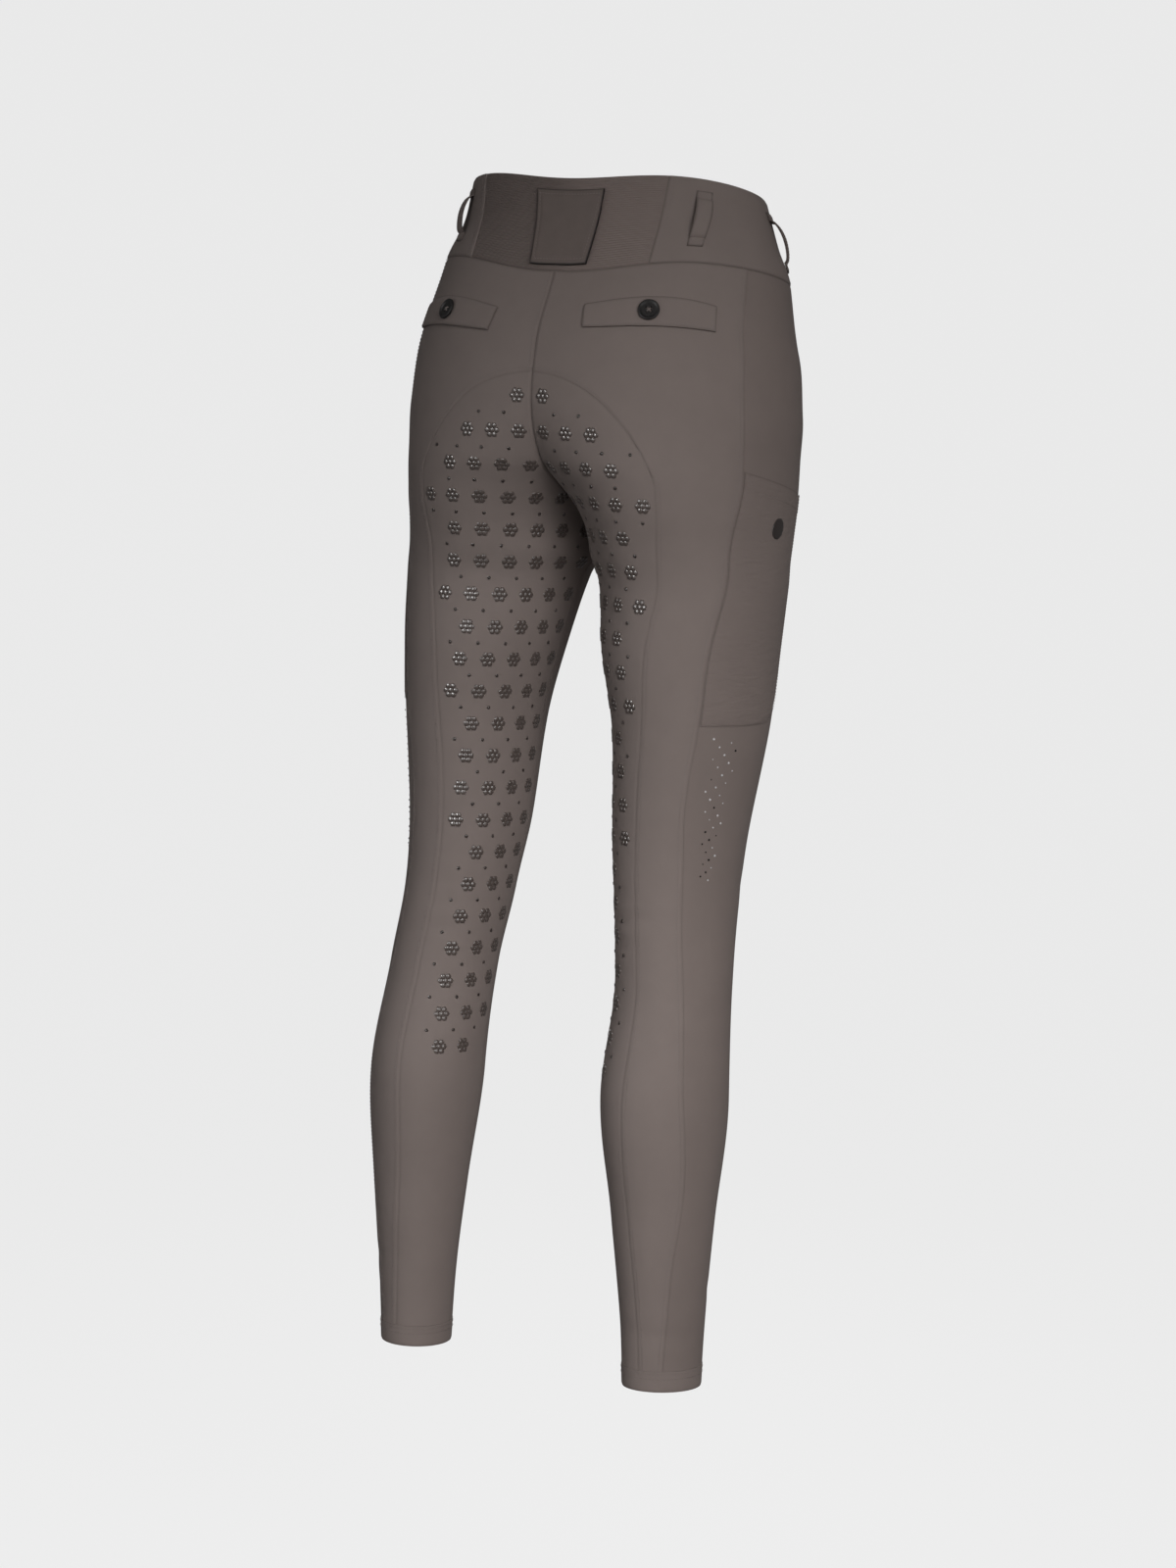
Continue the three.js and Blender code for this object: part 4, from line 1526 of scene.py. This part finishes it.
@dataclass
class Closure:
    """The plain closure at the front: a fly on the right, and a buttoned tab on the band."""

    fly_width: float = 36.0
    fly_top: float = -41.0
    fly_bottom: float = -178.0
    fly_round: float = 30.0
    tab_right: float = 24.0
    tab_left: float = 42.0
    tab_top: float = 19.0
    tab_bottom: float = -33.0
    button_out: float = 26.0
    button_level: float = -7.0
    fly_wall: float = 1.2
    tab_wall: float = 1.4
    tab_crown: float = 0.35

    def fly_foot(self, out: np.ndarray) -> np.ndarray:
        """Returns the fly's bottom edge at a distance from the middle."""
        inside = np.clip(out / self.fly_width, 0, 1)
        return self.fly_bottom + self.fly_round * (1 - np.sqrt(1 - inside**2))

    def fly_line(self, by: float) -> Spots:
        """Returns the fly's curved stitch line, inside its edge."""
        width = self.fly_width - by
        down = np.linspace(self.fly_top - 3, self.fly_bottom + self.fly_round, 60)
        out = np.linspace(width, 1.5, 40)
        foot = self.fly_foot(out * self.fly_width / width) + by
        levels = np.concatenate([down, foot])
        return Spots(levels, np.concatenate([0 * down + width, out]))

    def build(self) -> None:
        """Makes the fly, the tab and its button."""
        out = steps_across(self.fly_width, 3.0)
        level = self.fly_top - steps_across(self.fly_top - self.fly_foot(out), 3.6).T
        down = np.linspace(self.fly_top, self.fly_bottom + self.fly_round, 60)
        rim = [line(down, self.fly_width), Spots(self.fly_foot(out), out)]
        fly = Cloth("fly", [line(level, out)], CLOTH, "fly_flap_R", FLY_CUT)
        fly.low, fly.high = LAID_ON, LAID_ON + self.fly_wall
        fly.edges = [Edge(path, sink=0.5) for path in rim]
        fly.build(Side.R)
        rows = rows_down(self.tab_top, self.tab_bottom, 3.0)
        columns = -self.tab_right + steps_across(self.tab_right + self.tab_left, 3.2)
        grid = Spots(*np.meshgrid(rows, columns, indexing="ij"))
        tab = Across("closing_tab", grid, CLOTH, "waist_tab", TAB_CUT, "cloth")
        tab.high, tab.at_front, tab.shape = LAID_ON + self.tab_wall, True, self._tab_edges
        tab.build()
        button = Button("tab_button", "waist_button", Spots(self.button_level, self.button_out))
        button.lift = 2 * LAID_ON + self.tab_wall
        button.build()

    def _tab_edges(self, spots: Spots) -> np.ndarray:
        """Returns the tab's lift, which sinks to its rounded edges."""
        across = np.minimum(spots.arc + self.tab_right, self.tab_left - spots.arc)
        up = np.minimum(self.tab_top - spots.level, spots.level - self.tab_bottom)
        near = np.minimum(across, up)
        return self.tab_crown - 0.6 * np.exp(-((near / 1.1) ** 2))

    def tab_line(self, by: float) -> Spots:
        """Returns the tab's stitch line, with signed distances from the middle."""
        top, bottom = self.tab_top - by, self.tab_bottom + by
        left, right = self.tab_left - by, -self.tab_right + by
        return along_corners([(top, right), (top, left), (bottom, left), (bottom, right), (top, right)])


@dataclass
class BackPatch:
    """The leather label over the insert, left bare inside a stitched border."""

    top_half: float = 31.0
    bottom_half: float = 26.0
    top: float = 18.0
    bottom: float = -35.0
    aside: float = -2.7
    wall: float = 2.4
    row: float = 0.7
    column: float = 1.7
    stitched: float = 3.4

    def _half(self, level: Numbers) -> np.ndarray:
        """Returns half the label's width at a level."""
        share = (self.top - level) / (self.top - self.bottom)
        return self.top_half + (self.bottom_half - self.top_half) * share

    def _inside(self, spots: Spots) -> np.ndarray:
        """Returns how far places lie inside the label's edge."""
        side = self._half(spots.level) - np.abs(spots.arc - self.aside)
        return np.minimum(side, np.minimum(self.top - spots.level, spots.level - self.bottom))

    def _edges(self, spots: Spots) -> np.ndarray:
        """Returns the lift of the round edge, the pressed border and lines and the free right side."""
        near = self._inside(spots)
        pressed = 0.3 * np.exp(-(((near - self.stitched) / 0.8) ** 2))
        middle = 0.25 * np.clip((near - 4.2) / 1.4, 0, 1)
        lined = np.clip((near - 6) / 1.5, 0, 1) * np.clip((-11 - spots.level) / 1.5, 0, 1)
        lines = 0.16 * lined * np.cos(2 * np.pi * spots.level / 3.4) ** 8
        right = np.clip((self.aside - spots.arc) / self.top_half, 0, 1) ** 2
        low = np.clip((self.top - spots.level) / (self.top - self.bottom), 0, 1)
        return middle - pressed - lines - 0.6 * np.exp(-(near**2)) + 1.3 * right + 0.5 * low

    def _painted_edge_shade(self, spots: Spots) -> np.ndarray:
        """Returns how much of each place the painted shade along the cut edge covers."""
        return np.exp(-((self._inside(spots) / 0.7) ** 2))

    def build(self) -> None:
        """Makes the label."""
        rows = rows_down(self.top, self.bottom, self.row)
        half = self._half(rows)
        grid = in_rows(rows, self.aside + half[:, None] - steps_across(2 * half, self.column))
        label = Across("back_label", grid, HIDE, "back_patch", None, "label")
        # The rim gives the label painted shade along its cut edges.
        label.high, label.shape, label.rim = LAID_ON + self.wall, self._edges, self._painted_edge_shade
        label.build()

    def border(self) -> Spots:
        """Returns the border's stitch line, with signed distances from the back seam."""
        by = self.stitched
        top, bottom = self.top - by, self.bottom + by
        wide, narrow = self.top_half - by, self.bottom_half - by
        around = [(top, wide), (top, -wide), (bottom, -narrow), (bottom, narrow), (top, wide)]
        return along_corners([(level, out + self.aside) for level, out in around])

    def lift(self, spots: Spots) -> np.ndarray:
        """Returns the lift of the label's face."""
        return LAID_ON + self.wall + self._edges(spots)


class Tree:
    """A Geometry Nodes tree with named inputs."""

    KINDS = {float: "NodeSocketFloat", int: "NodeSocketInt"}

    def __init__(self, name: str, **inputs: object) -> None:
        """Makes the tree.

        Args:
            name: its name.
            inputs: the value of each input, or the kind of socket of one that has none yet.
        """
        self.group = bpy.data.node_groups.new(name, "GeometryNodeTree")
        face = self.group.interface
        for way in ("INPUT", "OUTPUT"):
            face.new_socket("Geometry", in_out=way, socket_type="NodeSocketGeometry")
        self.ids: dict[str, str] = {}
        self.defaults: dict[str, object] = {}
        for label, value in {**inputs, "Material": "NodeSocketMaterial"}.items():
            kind = self.KINDS.get(type(value), value)
            self.ids[label] = face.new_socket(label, in_out="INPUT", socket_type=kind).identifier
            self.defaults[label] = None if isinstance(value, str) else value
        self.nodes = Nodes(self.group)
        self.start = self.nodes.make("NodeGroupInput")

    def given(self, label: str) -> Socket:
        """Returns the socket of a named input."""
        return self.start.outputs[label]

    def real(self, geometry: Socket) -> Socket:
        """Returns the geometry with its instances realized."""
        return self.nodes.out("GeometryNodeRealizeInstances", None, {0: geometry})

    def stamped(self, points: Socket, shape: Socket, **turn_and_size: Socket) -> Socket:
        """Returns copies of a shape that stand at the points."""
        inputs = {"Points": points, "Instance": shape, **turn_and_size}
        return self.nodes.out("GeometryNodeInstanceOnPoints", None, inputs)

    def turned(self, first: tuple[str, Socket], second: tuple[str, Socket]) -> Socket:
        """Returns a rotation that takes two axes, by their letters, to these directions."""
        axes = {"primary_axis": first[0], "secondary_axis": second[0]}
        inputs = {"Primary Axis": first[1], "Secondary Axis": second[1]}
        return self.nodes.out("FunctionNodeAxesToRotation", axes, inputs)

    def times(self, value: Socket, by: float) -> Socket:
        """Returns a number made larger or smaller."""
        return self.nodes.out("ShaderNodeMath", {"operation": "MULTIPLY"}, {0: value, 1: by})

    def end(self, geometry: Socket, smooth: bool = True) -> None:
        """Realizes the instances, sets the material and ends the tree."""
        n, shape = self.nodes, self.real(geometry)
        if smooth:
            shape = n.out("GeometryNodeSetShadeSmooth", None, {"Geometry": shape})
        inputs = {"Geometry": shape, "Material": self.given("Material")}
        n.make("NodeGroupOutput", None, {0: n.out("GeometryNodeSetMaterial", None, inputs)})

    def run(self, piece: bpy.types.Object, **values: object) -> None:
        """Runs the tree on an object and keeps the result as its plain mesh.

        Args:
            piece: the object, whose mesh the result replaces.
            values: inputs by name.
        """
        modifier = piece.modifiers.new("pattern", "NODES")
        modifier.node_group = self.group
        for label, identifier in self.ids.items():
            modifier[identifier] = values.get(label, self.defaults[label])
        made = evaluated(piece)
        piece.modifiers.clear()
        piece.data = made
        log.info("%s: %d faces", piece.name, len(made.polygons))


def stitch_tree() -> Tree:
    """Returns a tree that sews along a mesh's edges, whose points hold an up direction."""
    tree = Tree("stitches", Pitch=0.003, Length=0.0021, Thickness=0.00042)
    n, thick = tree.nodes, tree.given("Thickness")
    path = n.out("GeometryNodeMeshToCurve", None, {0: tree.given("Geometry")})
    inputs = {"Curve": path, "Length": tree.given("Pitch")}
    even = n.out("GeometryNodeResampleCurve", {"mode": "LENGTH"}, inputs)
    thread = n.out("GeometryNodeMeshIcoSphere", None, {"Radius": 0.5, "Subdivisions": 2})
    size = {"X": tree.given("Length"), "Y": thick, "Z": thick}
    scale = n.out("ShaderNodeCombineXYZ", None, size)
    stitch = n.out("GeometryNodeTransform", None, {"Geometry": thread, "Scale": scale})
    along = n.out("GeometryNodeInputTangent")
    turn = tree.turned(("X", along), ("Z", n.stored("up")))
    tree.end(tree.stamped(even, stitch, Rotation=turn))
    return tree


class Run(NamedTuple):
    """A line of stitches: its points and the outward directions there, in millimetres."""

    points: np.ndarray
    up: np.ndarray


@dataclass
class Stitching:
    """All the visible sewing, as lines on the cloth."""

    seams: Seams
    pockets: ThighPockets
    flaps: BackPockets
    closure: Closure
    patch: BackPatch
    loops: list[BeltLoop]
    sunk: float = 0.02
    beside: float = 4.2
    seam_pitch: float = 0.0032
    band_pitch: float = 0.003
    trim_pitch: float = 0.0026
    label_pitch: float = 0.0028

    def _on(self, path: Spots, side: Side, lift: Numbers) -> Run:
        """Returns a run along a path on one half, at a lift off the body's surface."""
        raised = relief(path.level, path.arc, side) + lift - self.sunk
        return Run(on_cloth(path, side, raised), outward(path, side))

    def _signed(self, path: Spots, at_front: bool, lift: Numbers) -> Run:
        """Returns a run along a path whose distances from the middle have a sign."""
        arc = np.abs(path.arc) if at_front else FORM.girth(path.level) - np.abs(path.arc)
        sign = np.where(path.arc < 0, -1, 1)[:, None] * np.array([1, 0, 0]) + np.array([0, 1, 1])
        spots = Spots(path.level, arc)
        points = on_cloth(spots, Side.L, lift - self.sunk + 0 * arc) * sign
        return Run(points, outward(spots, Side.L) * sign)

    def _body(self, side: Side) -> list[Run]:
        """Returns the runs beside the body's seams and on the hem."""
        seat, outer = self.seams.seat, self.seams.side
        part = np.linspace(0.02, 1, 120)
        above = arch_level(part) + self.beside
        start = seat_arc(above)
        body = np.linspace(WAIST_SEAM - 2, -250, 120)
        paths = [
            (line(seat.level, seat.arc - self.beside), 0.3),
            (line(outer.level, outer.arc + self.beside), 0.3),
            (line(above, start + (FORM.girth(above) - start) * part), 0.3),
            (line(body, FORM.girth(body) - 3.0), 0.25),
        ]
        for level in (HEM_SEAM - 2.2, HEM_SEAM - 6.6):
            paths.append((line(level, FORM.girth(level) * np.linspace(0, 1, 90)), 0.7))
        return [self._on(path, side, lift) for path, lift in paths]

    def _band(self, side: Side) -> list[Run]:
        """Returns the runs on the waistband."""
        level = np.linspace(WAIST_TOP - 1, WAIST_SEAM + 1, 40)
        edge = FORM.girth(level) - insert_reach(side, level)
        runs = [self._on(Spots(level, edge - by), side, 0.6) for by in (2.4, 6.0)]
        arcs = np.linspace(0, FORM.girth(WAIST_SEAM) - INSERT_REACH[side] - 1, 90)
        return [*runs, self._on(line(WAIST_SEAM + 2.6, arcs), side, 0.3)]

    def _trim(self, side: Side) -> list[Run]:
        """Returns the runs on the pockets, flaps and loops."""
        pockets, flaps = self.pockets, self.flaps
        paths = [pockets.inset(1.8), pockets.inset(6.8), pockets.mouth_line(pockets.mouth_hem - 1.5)]
        runs = [self._on(path, side, pockets.top_lift(path)) for path in paths]
        for path, down in flaps.outline(side, 1.9):
            runs.append(self._on(path, side, LAID_ON + flaps.wall + flaps.stand(down) - 0.05))
        down = np.linspace(0.05, 0.95, 40)
        for loop in self.loops:
            half = loop.width / 2
            lines = [(down, off, 0.15) for off in (2.2 - half, half - 2.2)]
            across = np.linspace(1 - half, half - 1, 12)
            lines += [(share, across, 0.05) for share in (0.07, 0.1, 0.9, 0.93)]
            for along, off, under in lines:
                path = loop.spots(side, along, off)
                lift = loop.lift(along) + loop.wall - under
                runs.append(Run(on_cloth(path, side, lift), outward(path, side)))
        return runs

    def build(self, tree: Tree) -> None:
        """Sews every run, in one piece for each part of the garment."""
        for side in Side:
            self._sew(tree, f"seam_stitches_{side.name}", self._body(side), self.seam_pitch)
            self._sew(tree, f"band_stitches_{side.name}", self._band(side), self.band_pitch)
            self._sew(tree, f"trim_stitches_{side.name}", self._trim(side), self.trim_pitch)
        border, closure = self.patch.border(), self.closure
        patch = self._signed(border, False, self.patch.lift(border) + 0.05)
        tab_top = LAID_ON + closure.tab_wall + closure.tab_crown
        tab = self._signed(closure.tab_line(2.4), True, tab_top)
        fly_top = LAID_ON + closure.fly_wall
        fly = [self._on(closure.fly_line(by), Side.R, fly_top) for by in (2.0, 6.0)]
        self._sew(tree, "label_stitches", [patch], self.label_pitch)
        self._sew(tree, "closure_stitches", [tab, *fly], self.label_pitch)

    @staticmethod
    def _sew(tree: Tree, name: str, runs: Sequence[Run], pitch: float) -> None:
        """Makes one object of stitches from several runs."""
        edges: list[tuple[int, int]] = []
        start = 0
        for run in runs:
            edges += [(start + k, start + k + 1) for k in range(len(run.points) - 1)]
            start += len(run.points)
        points, up = (np.concatenate(part) for part in zip(*runs))
        mesh = bpy.data.meshes.new(name)
        mesh.from_pydata((points * MM).tolist(), edges, [])
        keep(mesh, "up", up)
        piece = linked(name, mesh)
        tree.run(piece, Pitch=pitch, Material=THREAD.material())
        settle(piece, "cloth")


def print_tree() -> Tree:
    """Returns a tree that prints a cluster of hexagonal pads at each point and lays it on the cloth."""
    kind = "NodeSocketObject"
    tree = Tree("grip_print", Cloth=kind, Pad=0.0026, Ring=0.0042, Height=0.00045, Count=6)
    n, pad, height = tree.nodes, tree.given("Pad"), tree.given("Height")
    sides = {"Vertices": 6, "Radius Bottom": pad, "Radius Top": tree.times(pad, 0.82), "Depth": height}
    cone = n.out("GeometryNodeMeshCone", None, sides)
    around = {"Vertices": tree.given("Count"), "Radius": tree.given("Ring")}
    ring = tree.stamped(n.out("GeometryNodeMeshCircle", None, around), cone)
    cluster = n.make("GeometryNodeJoinGeometry")
    for shape in (ring, cone):
        tree.group.links.new(shape, cluster.inputs[0])
    where = n.out("GeometryNodeInputPosition")
    height = n.make("ShaderNodeSeparateXYZ", None, {0: where}).outputs[2]
    stored = {"Geometry": tree.real(cluster.outputs[0]), "Name": "height", "Value": height}
    kind = {"data_type": "FLOAT", "domain": "POINT"}
    marked = n.out("GeometryNodeStoreNamedAttribute", kind, stored)
    turn = tree.turned(("Z", n.stored("up")), ("X", n.stored("run")))
    size = n.stored("size", "FLOAT")
    copies = tree.real(tree.stamped(tree.given("Geometry"), marked, Rotation=turn, Scale=size))
    given = {"Object": tree.given("Cloth")}
    cloth = n.make("GeometryNodeObjectInfo", None, given).outputs["Geometry"]
    kind, sampled = {"data_type": "FLOAT_VECTOR"}, []
    for value in (where, n.out("GeometryNodeInputNormal")):
        inputs = {"Mesh": cloth, "Value": value}
        sampled.append(n.out("GeometryNodeSampleNearestSurface", kind, inputs))
    inputs = {0: sampled[1], "Scale": n.stored("height", "FLOAT")}
    raised = n.out("ShaderNodeVectorMath", {"operation": "SCALE"}, inputs)
    laid = n.out("ShaderNodeVectorMath", {"operation": "ADD"}, {0: sampled[0], 1: raised})
    tree.end(n.out("GeometryNodeSetPosition", None, {"Geometry": copies, "Position": laid}))
    return tree


def marks(name: str, spots: Spots, side: Side, sizes: Numbers = 1.0, lift: float = 0.0) -> bpy.types.Object:
    """Makes loose points on the cloth, with the directions and size of what stands there."""
    mesh = bpy.data.meshes.new(name)
    mesh.from_pydata((on_cloth(spots, side, lift) * MM).tolist(), [], [])
    up = outward(spots, side)
    keep(mesh, "up", up)
    keep(mesh, "run", np.cross(up, (0, 0, 1)))
    keep(mesh, "size", sizes + np.zeros(len(up)))
    return linked(name, mesh)


@dataclass
class GripPrint:
    """Silicone grip print on the seat: large clusters with a small pad between each four."""

    across: float = 23.5
    down: float = 27.0
    margin: float = 10.0
    first: float = 12.0
    last: float = -690.0
    below_arch: float = 20.0
    columns: int = 10

    def _spots(self, shifted: bool) -> Spots:
        """Returns the places of one of the two lattices."""
        levels, arcs = [], []
        shift = 0.5 if shifted else 0.0
        for k in range(int((ARCH_TOP - self.last) / self.down) + 1):
            level = ARCH_TOP - self.below_arch - (k + shift) * self.down
            for j in range(self.columns):
                out = self.first + (j + shift) * self.across
                arc = FORM.girth(level) - out
                if self._inside(level, out, arc):
                    levels.append(level)
                    arcs.append(arc)
        return Spots(np.array(levels), np.array(arcs))

    def _inside(self, level: float, out: float, arc: float) -> bool:
        """Tells if a place lies well inside the seat panel and the printed length."""
        start = seat_arc(level)
        if arc - start < self.margin:
            return False
        part = (arc - start) / (FORM.girth(level) - start)
        if level > arch_level(part) - self.margin - 4:
            return False
        return level > self.last + max(0.0, 26 - out)

    def build(self, tree: Tree) -> None:
        """Prints both halves."""
        small = {"Pad": 0.0016, "Ring": 0.0, "Count": 3}
        for side in Side:
            cloth = bpy.data.objects[f"seat_panel_{side.name}"]
            for name, shifted, values in (("clusters", False, {}), ("pads", True, small)):
                piece = marks(f"grip_{name}_{side.name}", self._spots(shifted), side)
                tree.run(piece, Cloth=cloth, Material=SILICONE.material(), **values)
                settle(piece, "silicone")


def stone_tree() -> Tree:
    """Returns a tree that sets a faceted stone at each point."""
    tree = Tree("stones", Radius=0.0011, Height=0.0008)
    n, radius = tree.nodes, tree.given("Radius")
    cut = {"Radius Top": tree.times(radius, 0.5), "Radius Bottom": radius, "Depth": tree.given("Height")}
    gem = n.out("GeometryNodeMeshCone", None, {"Vertices": 8, **cut})
    turn = n.out("FunctionNodeAlignRotationToVector", {"axis": "Z"}, {"Vector": n.stored("up")})
    size = n.stored("size", "FLOAT")
    tree.end(tree.stamped(tree.given("Geometry"), gem, Rotation=turn, Scale=size), smooth=False)
    return tree


@dataclass
class Stones:
    """Small cut stones that trail down the outer thigh below the pocket, narrowing as they go."""

    top: float = -409.0
    pitch: float = 3.3
    count: int = 36
    near: float = 15.0
    width: float = 29.0
    narrowing: float = 0.62
    golden: float = 0.618
    lift: float = 0.35

    def _spots(self, dark: bool) -> Spots:
        """Returns the places of the light or the dark stones."""
        places = []
        for number in range(self.count):
            share = number / self.count
            across = (number * self.golden) % 1
            if dark != (number % 7 == 3 or (share > 0.62 and across < 0.55)):
                continue
            level = self.top - self.pitch * number
            ahead = self.near + self.width * across * (1 - self.narrowing * share)
            places.append((level, side_arc(level) - ahead))
        return Spots(*np.array(places).T)

    def build(self, tree: Tree) -> None:
        """Sets the stones on both thighs."""
        for side in Side:
            # The light stones' finish glows: a painted glint.
            for name, finish, dark in (("light", STONE, False), ("dark", DARK_STONE, True)):
                spots = self._spots(dark)
                sizes = 0.72 + 0.2 * np.cos(2.4 * np.arange(spots.arc.size))
                piece = marks(f"{name}_stones_{side.name}", spots, side, sizes, self.lift)
                tree.run(piece, Material=finish.material())
                settle(piece, "stone")


@dataclass
class PocketMark:
    """A plain moulded dot near the pocket's mouth, on both thighs."""

    level: float = -240.0
    ahead: float = 53.0
    radius: float = 8.5
    height: float = 1.2
    around: int = 36

    def _points(self, pockets: ThighPockets, side: Side) -> np.ndarray:
        """Returns the dome's rings of points, laid on the pocket, from the middle out and down."""
        reach = self.radius * np.array([0, 0.3, 0.55, 0.75, 0.9, 0.97, 1, 1])[:, None]
        rise = self.height * np.array([1, 0.97, 0.9, 0.8, 0.68, 0.55, 0.35, -0.3])[:, None]
        turns = np.linspace(0, 2 * np.pi, self.around, endpoint=False)
        level = self.level + reach * np.cos(turns)
        spots = Spots(level, side_arc(level) - self.ahead + reach * np.sin(turns))
        return on_cloth(spots, side, pockets.top_lift(spots) + relief(*spots, side) + rise)

    def build(self, pockets: ThighPockets) -> None:
        """Makes both dots."""
        for side in Side:
            rings = self._points(pockets, side)
            points = np.concatenate([rings[0, :1], rings[1:].reshape(-1, 3)]) * MM
            faces = dish_faces(len(rings) - 1, self.around)
            faces.append(tuple(range(len(points) - self.around, len(points)))[::-1])
            if side is Side.L:
                faces = [face[::-1] for face in faces]
            mesh = smooth_mesh(f"pocket_mark_{side.name}", points, faces, 50)
            mesh.materials.append(BADGE.material())
            settle(linked(mesh.name, mesh), "silicone")


def dish_faces(rings: int, around: int) -> list[Face]:
    """Returns the faces of a point and rings of points about it, from the middle out."""
    steps = [(k, (k + 1) % around) for k in range(around)]
    faces: list[Face] = [(0, 1 + k, 1 + n) for k, n in steps]
    for low in range(1, 1 + (rings - 1) * around, around):
        faces += [(low + k, low + around + k, low + around + n, low + n) for k, n in steps]
    return faces


@dataclass
class Studio:
    """The camera at the photograph's angle, a pale floor and soft light."""

    azimuth: float = 30.0
    elevation: float = 6.5
    distance: float = 3.3
    roll: float = 2.2
    lens: float = 90.6
    target: Vector = field(default_factory=lambda: Vector((0, 0.012, -0.463)))
    aim: Vector = field(default_factory=lambda: Vector((0, 0.04, -0.92)))
    spread: float = 54.0
    floor: float = -1.25
    reach: float = 4.0
    curve: float = 1.5
    height: float = 7.0
    around: int = 72
    air: float = 0.15
    paper: float = 0.81

    def _towards(self, aside: float, height: float) -> Vector:
        """Returns a direction from the garment, in degrees right of the camera and up."""
        a, e = math.radians(self.azimuth + aside), math.radians(height)
        return Vector((-math.sin(a) * math.cos(e), math.cos(a) * math.cos(e), math.sin(e)))

    def camera(self) -> None:
        """Makes the camera."""
        data = bpy.data.cameras.new("camera")
        data.lens = self.lens
        data.sensor_width = 36
        data.clip_end = 50
        back = self._towards(0.0, self.elevation)
        right = self._towards(90.0, 0.0)
        up = back.cross(right)
        c, s = math.cos(math.radians(self.roll)), math.sin(math.radians(self.roll))
        turn = Matrix((c * right + s * up, c * up - s * right, back)).transposed().to_4x4()
        made = linked("camera", data)
        made.matrix_world = Matrix.Translation(self.target + self.distance * back) @ turn
        bpy.context.scene.camera = made

    def light(
        self, name: str, aside: float, height: float, away: float, size: float, watts: float
    ) -> bpy.types.Object:
        """Makes a soft light that stands round the garment and faces its shins.

        Args:
            name: its name.
            aside: degrees to the right of the camera, seen from it.
            height: degrees above the horizon.
            away: distance from the garment.
            size: width of its face.
            watts: its strength.

        Returns:
            The light.
        """
        data = bpy.data.lights.new(name, "AREA")
        data.shape = "DISK"
        data.size = size
        data.spread = math.radians(self.spread)
        data.energy = watts
        made = linked(name, data)
        place = self.target + away * self._towards(aside, height)
        turn = (place - self.aim).to_track_quat("Z", "Y").to_matrix().to_4x4()
        made.matrix_world = Matrix.Translation(place) @ turn
        return made

    def room(self) -> None:
        """Makes the round floor, which curves up into a wall all round, and the air's own light."""
        far, bend = self.reach, self.curve
        turn = [math.radians(a) for a in range(-80, 1, 10)]
        profile = [(far + bend * math.cos(a), bend + bend * math.sin(a)) for a in turn]
        profile = [(far, 0.0), *profile, (far + bend, self.height)]
        points = [(0.0, 0.0, self.floor)]
        angles = [2 * math.pi * k / self.around for k in range(self.around)]
        for reach, up in profile:
            points += [(reach * math.cos(a), reach * math.sin(a), self.floor + up) for a in angles]
        faces = dish_faces(len(profile), self.around)
        mesh = smooth_mesh("studio_floor", np.array(points), faces)
        mesh.materials.append(self._paper())
        floor = linked("studio_floor", mesh)
        floor.visible_diffuse = False
        floor.visible_glossy = False
        world = bpy.data.worlds.new("studio_air")
        world.use_nodes = True
        air = world.node_tree.nodes["Background"]
        air.inputs["Color"].default_value = (1, 1, 1, 1)
        air.inputs["Strength"].default_value = self.air
        bpy.context.scene.world = world

    def _paper(self) -> bpy.types.Material:
        """Returns the floor's pale paper, lit evenly by itself with a faint shadow."""
        grey = (0.05, 0.05, 0.05, 1)
        return Finish("pale_paper", grey, 1.0, gloss=0.0, glow=self.paper).material()

    def build(self) -> None:
        """Makes the lights and the room."""
        bpy.context.scene.view_settings.view_transform = "Standard"
        self.light("key", 18, 17, 2.6, 1.5, 8.6)
        self.light("fill", -55, 4, 2.8, 1.8, 2.0)
        self.light("front", 180, 12, 3.0, 1.2, 8)
        gleam = self.light("gleam", -46, 16, 2.4, 0.6, 11)
        gleam.visible_diffuse = False
        self.room()


def main() -> None:
    """Builds every part in order; the parts log their sizes."""
    logging.basicConfig(level=logging.INFO, format="%(message)s")
    studio = Studio()
    studio.camera()
    seams = Seams()
    Panels(seams).build()
    Waistband(seams).build()
    pockets, flaps, closure, patch = ThighPockets(), BackPockets(), Closure(), BackPatch()
    pockets.build()
    flaps.build()
    closure.build()
    patch.build()
    loops = [
        BeltLoop("back_loop", "belt_loop_back", {Side.L: 125.0, Side.R: 115.0}, 17.0, -27.0),
        BeltLoop("front_loop", "belt_loop_front", {Side.L: 166.0, Side.R: 166.0}, 15.0, -28.0, True),
    ]
    for loop in loops:
        for side in Side:
            loop.build(side)
    Stitching(seams, pockets, flaps, closure, patch, loops).build(stitch_tree())
    GripPrint().build(print_tree())
    Stones().build(stone_tree())
    PocketMark().build(pockets)
    studio.build()


if __name__ == "__main__":
    main()
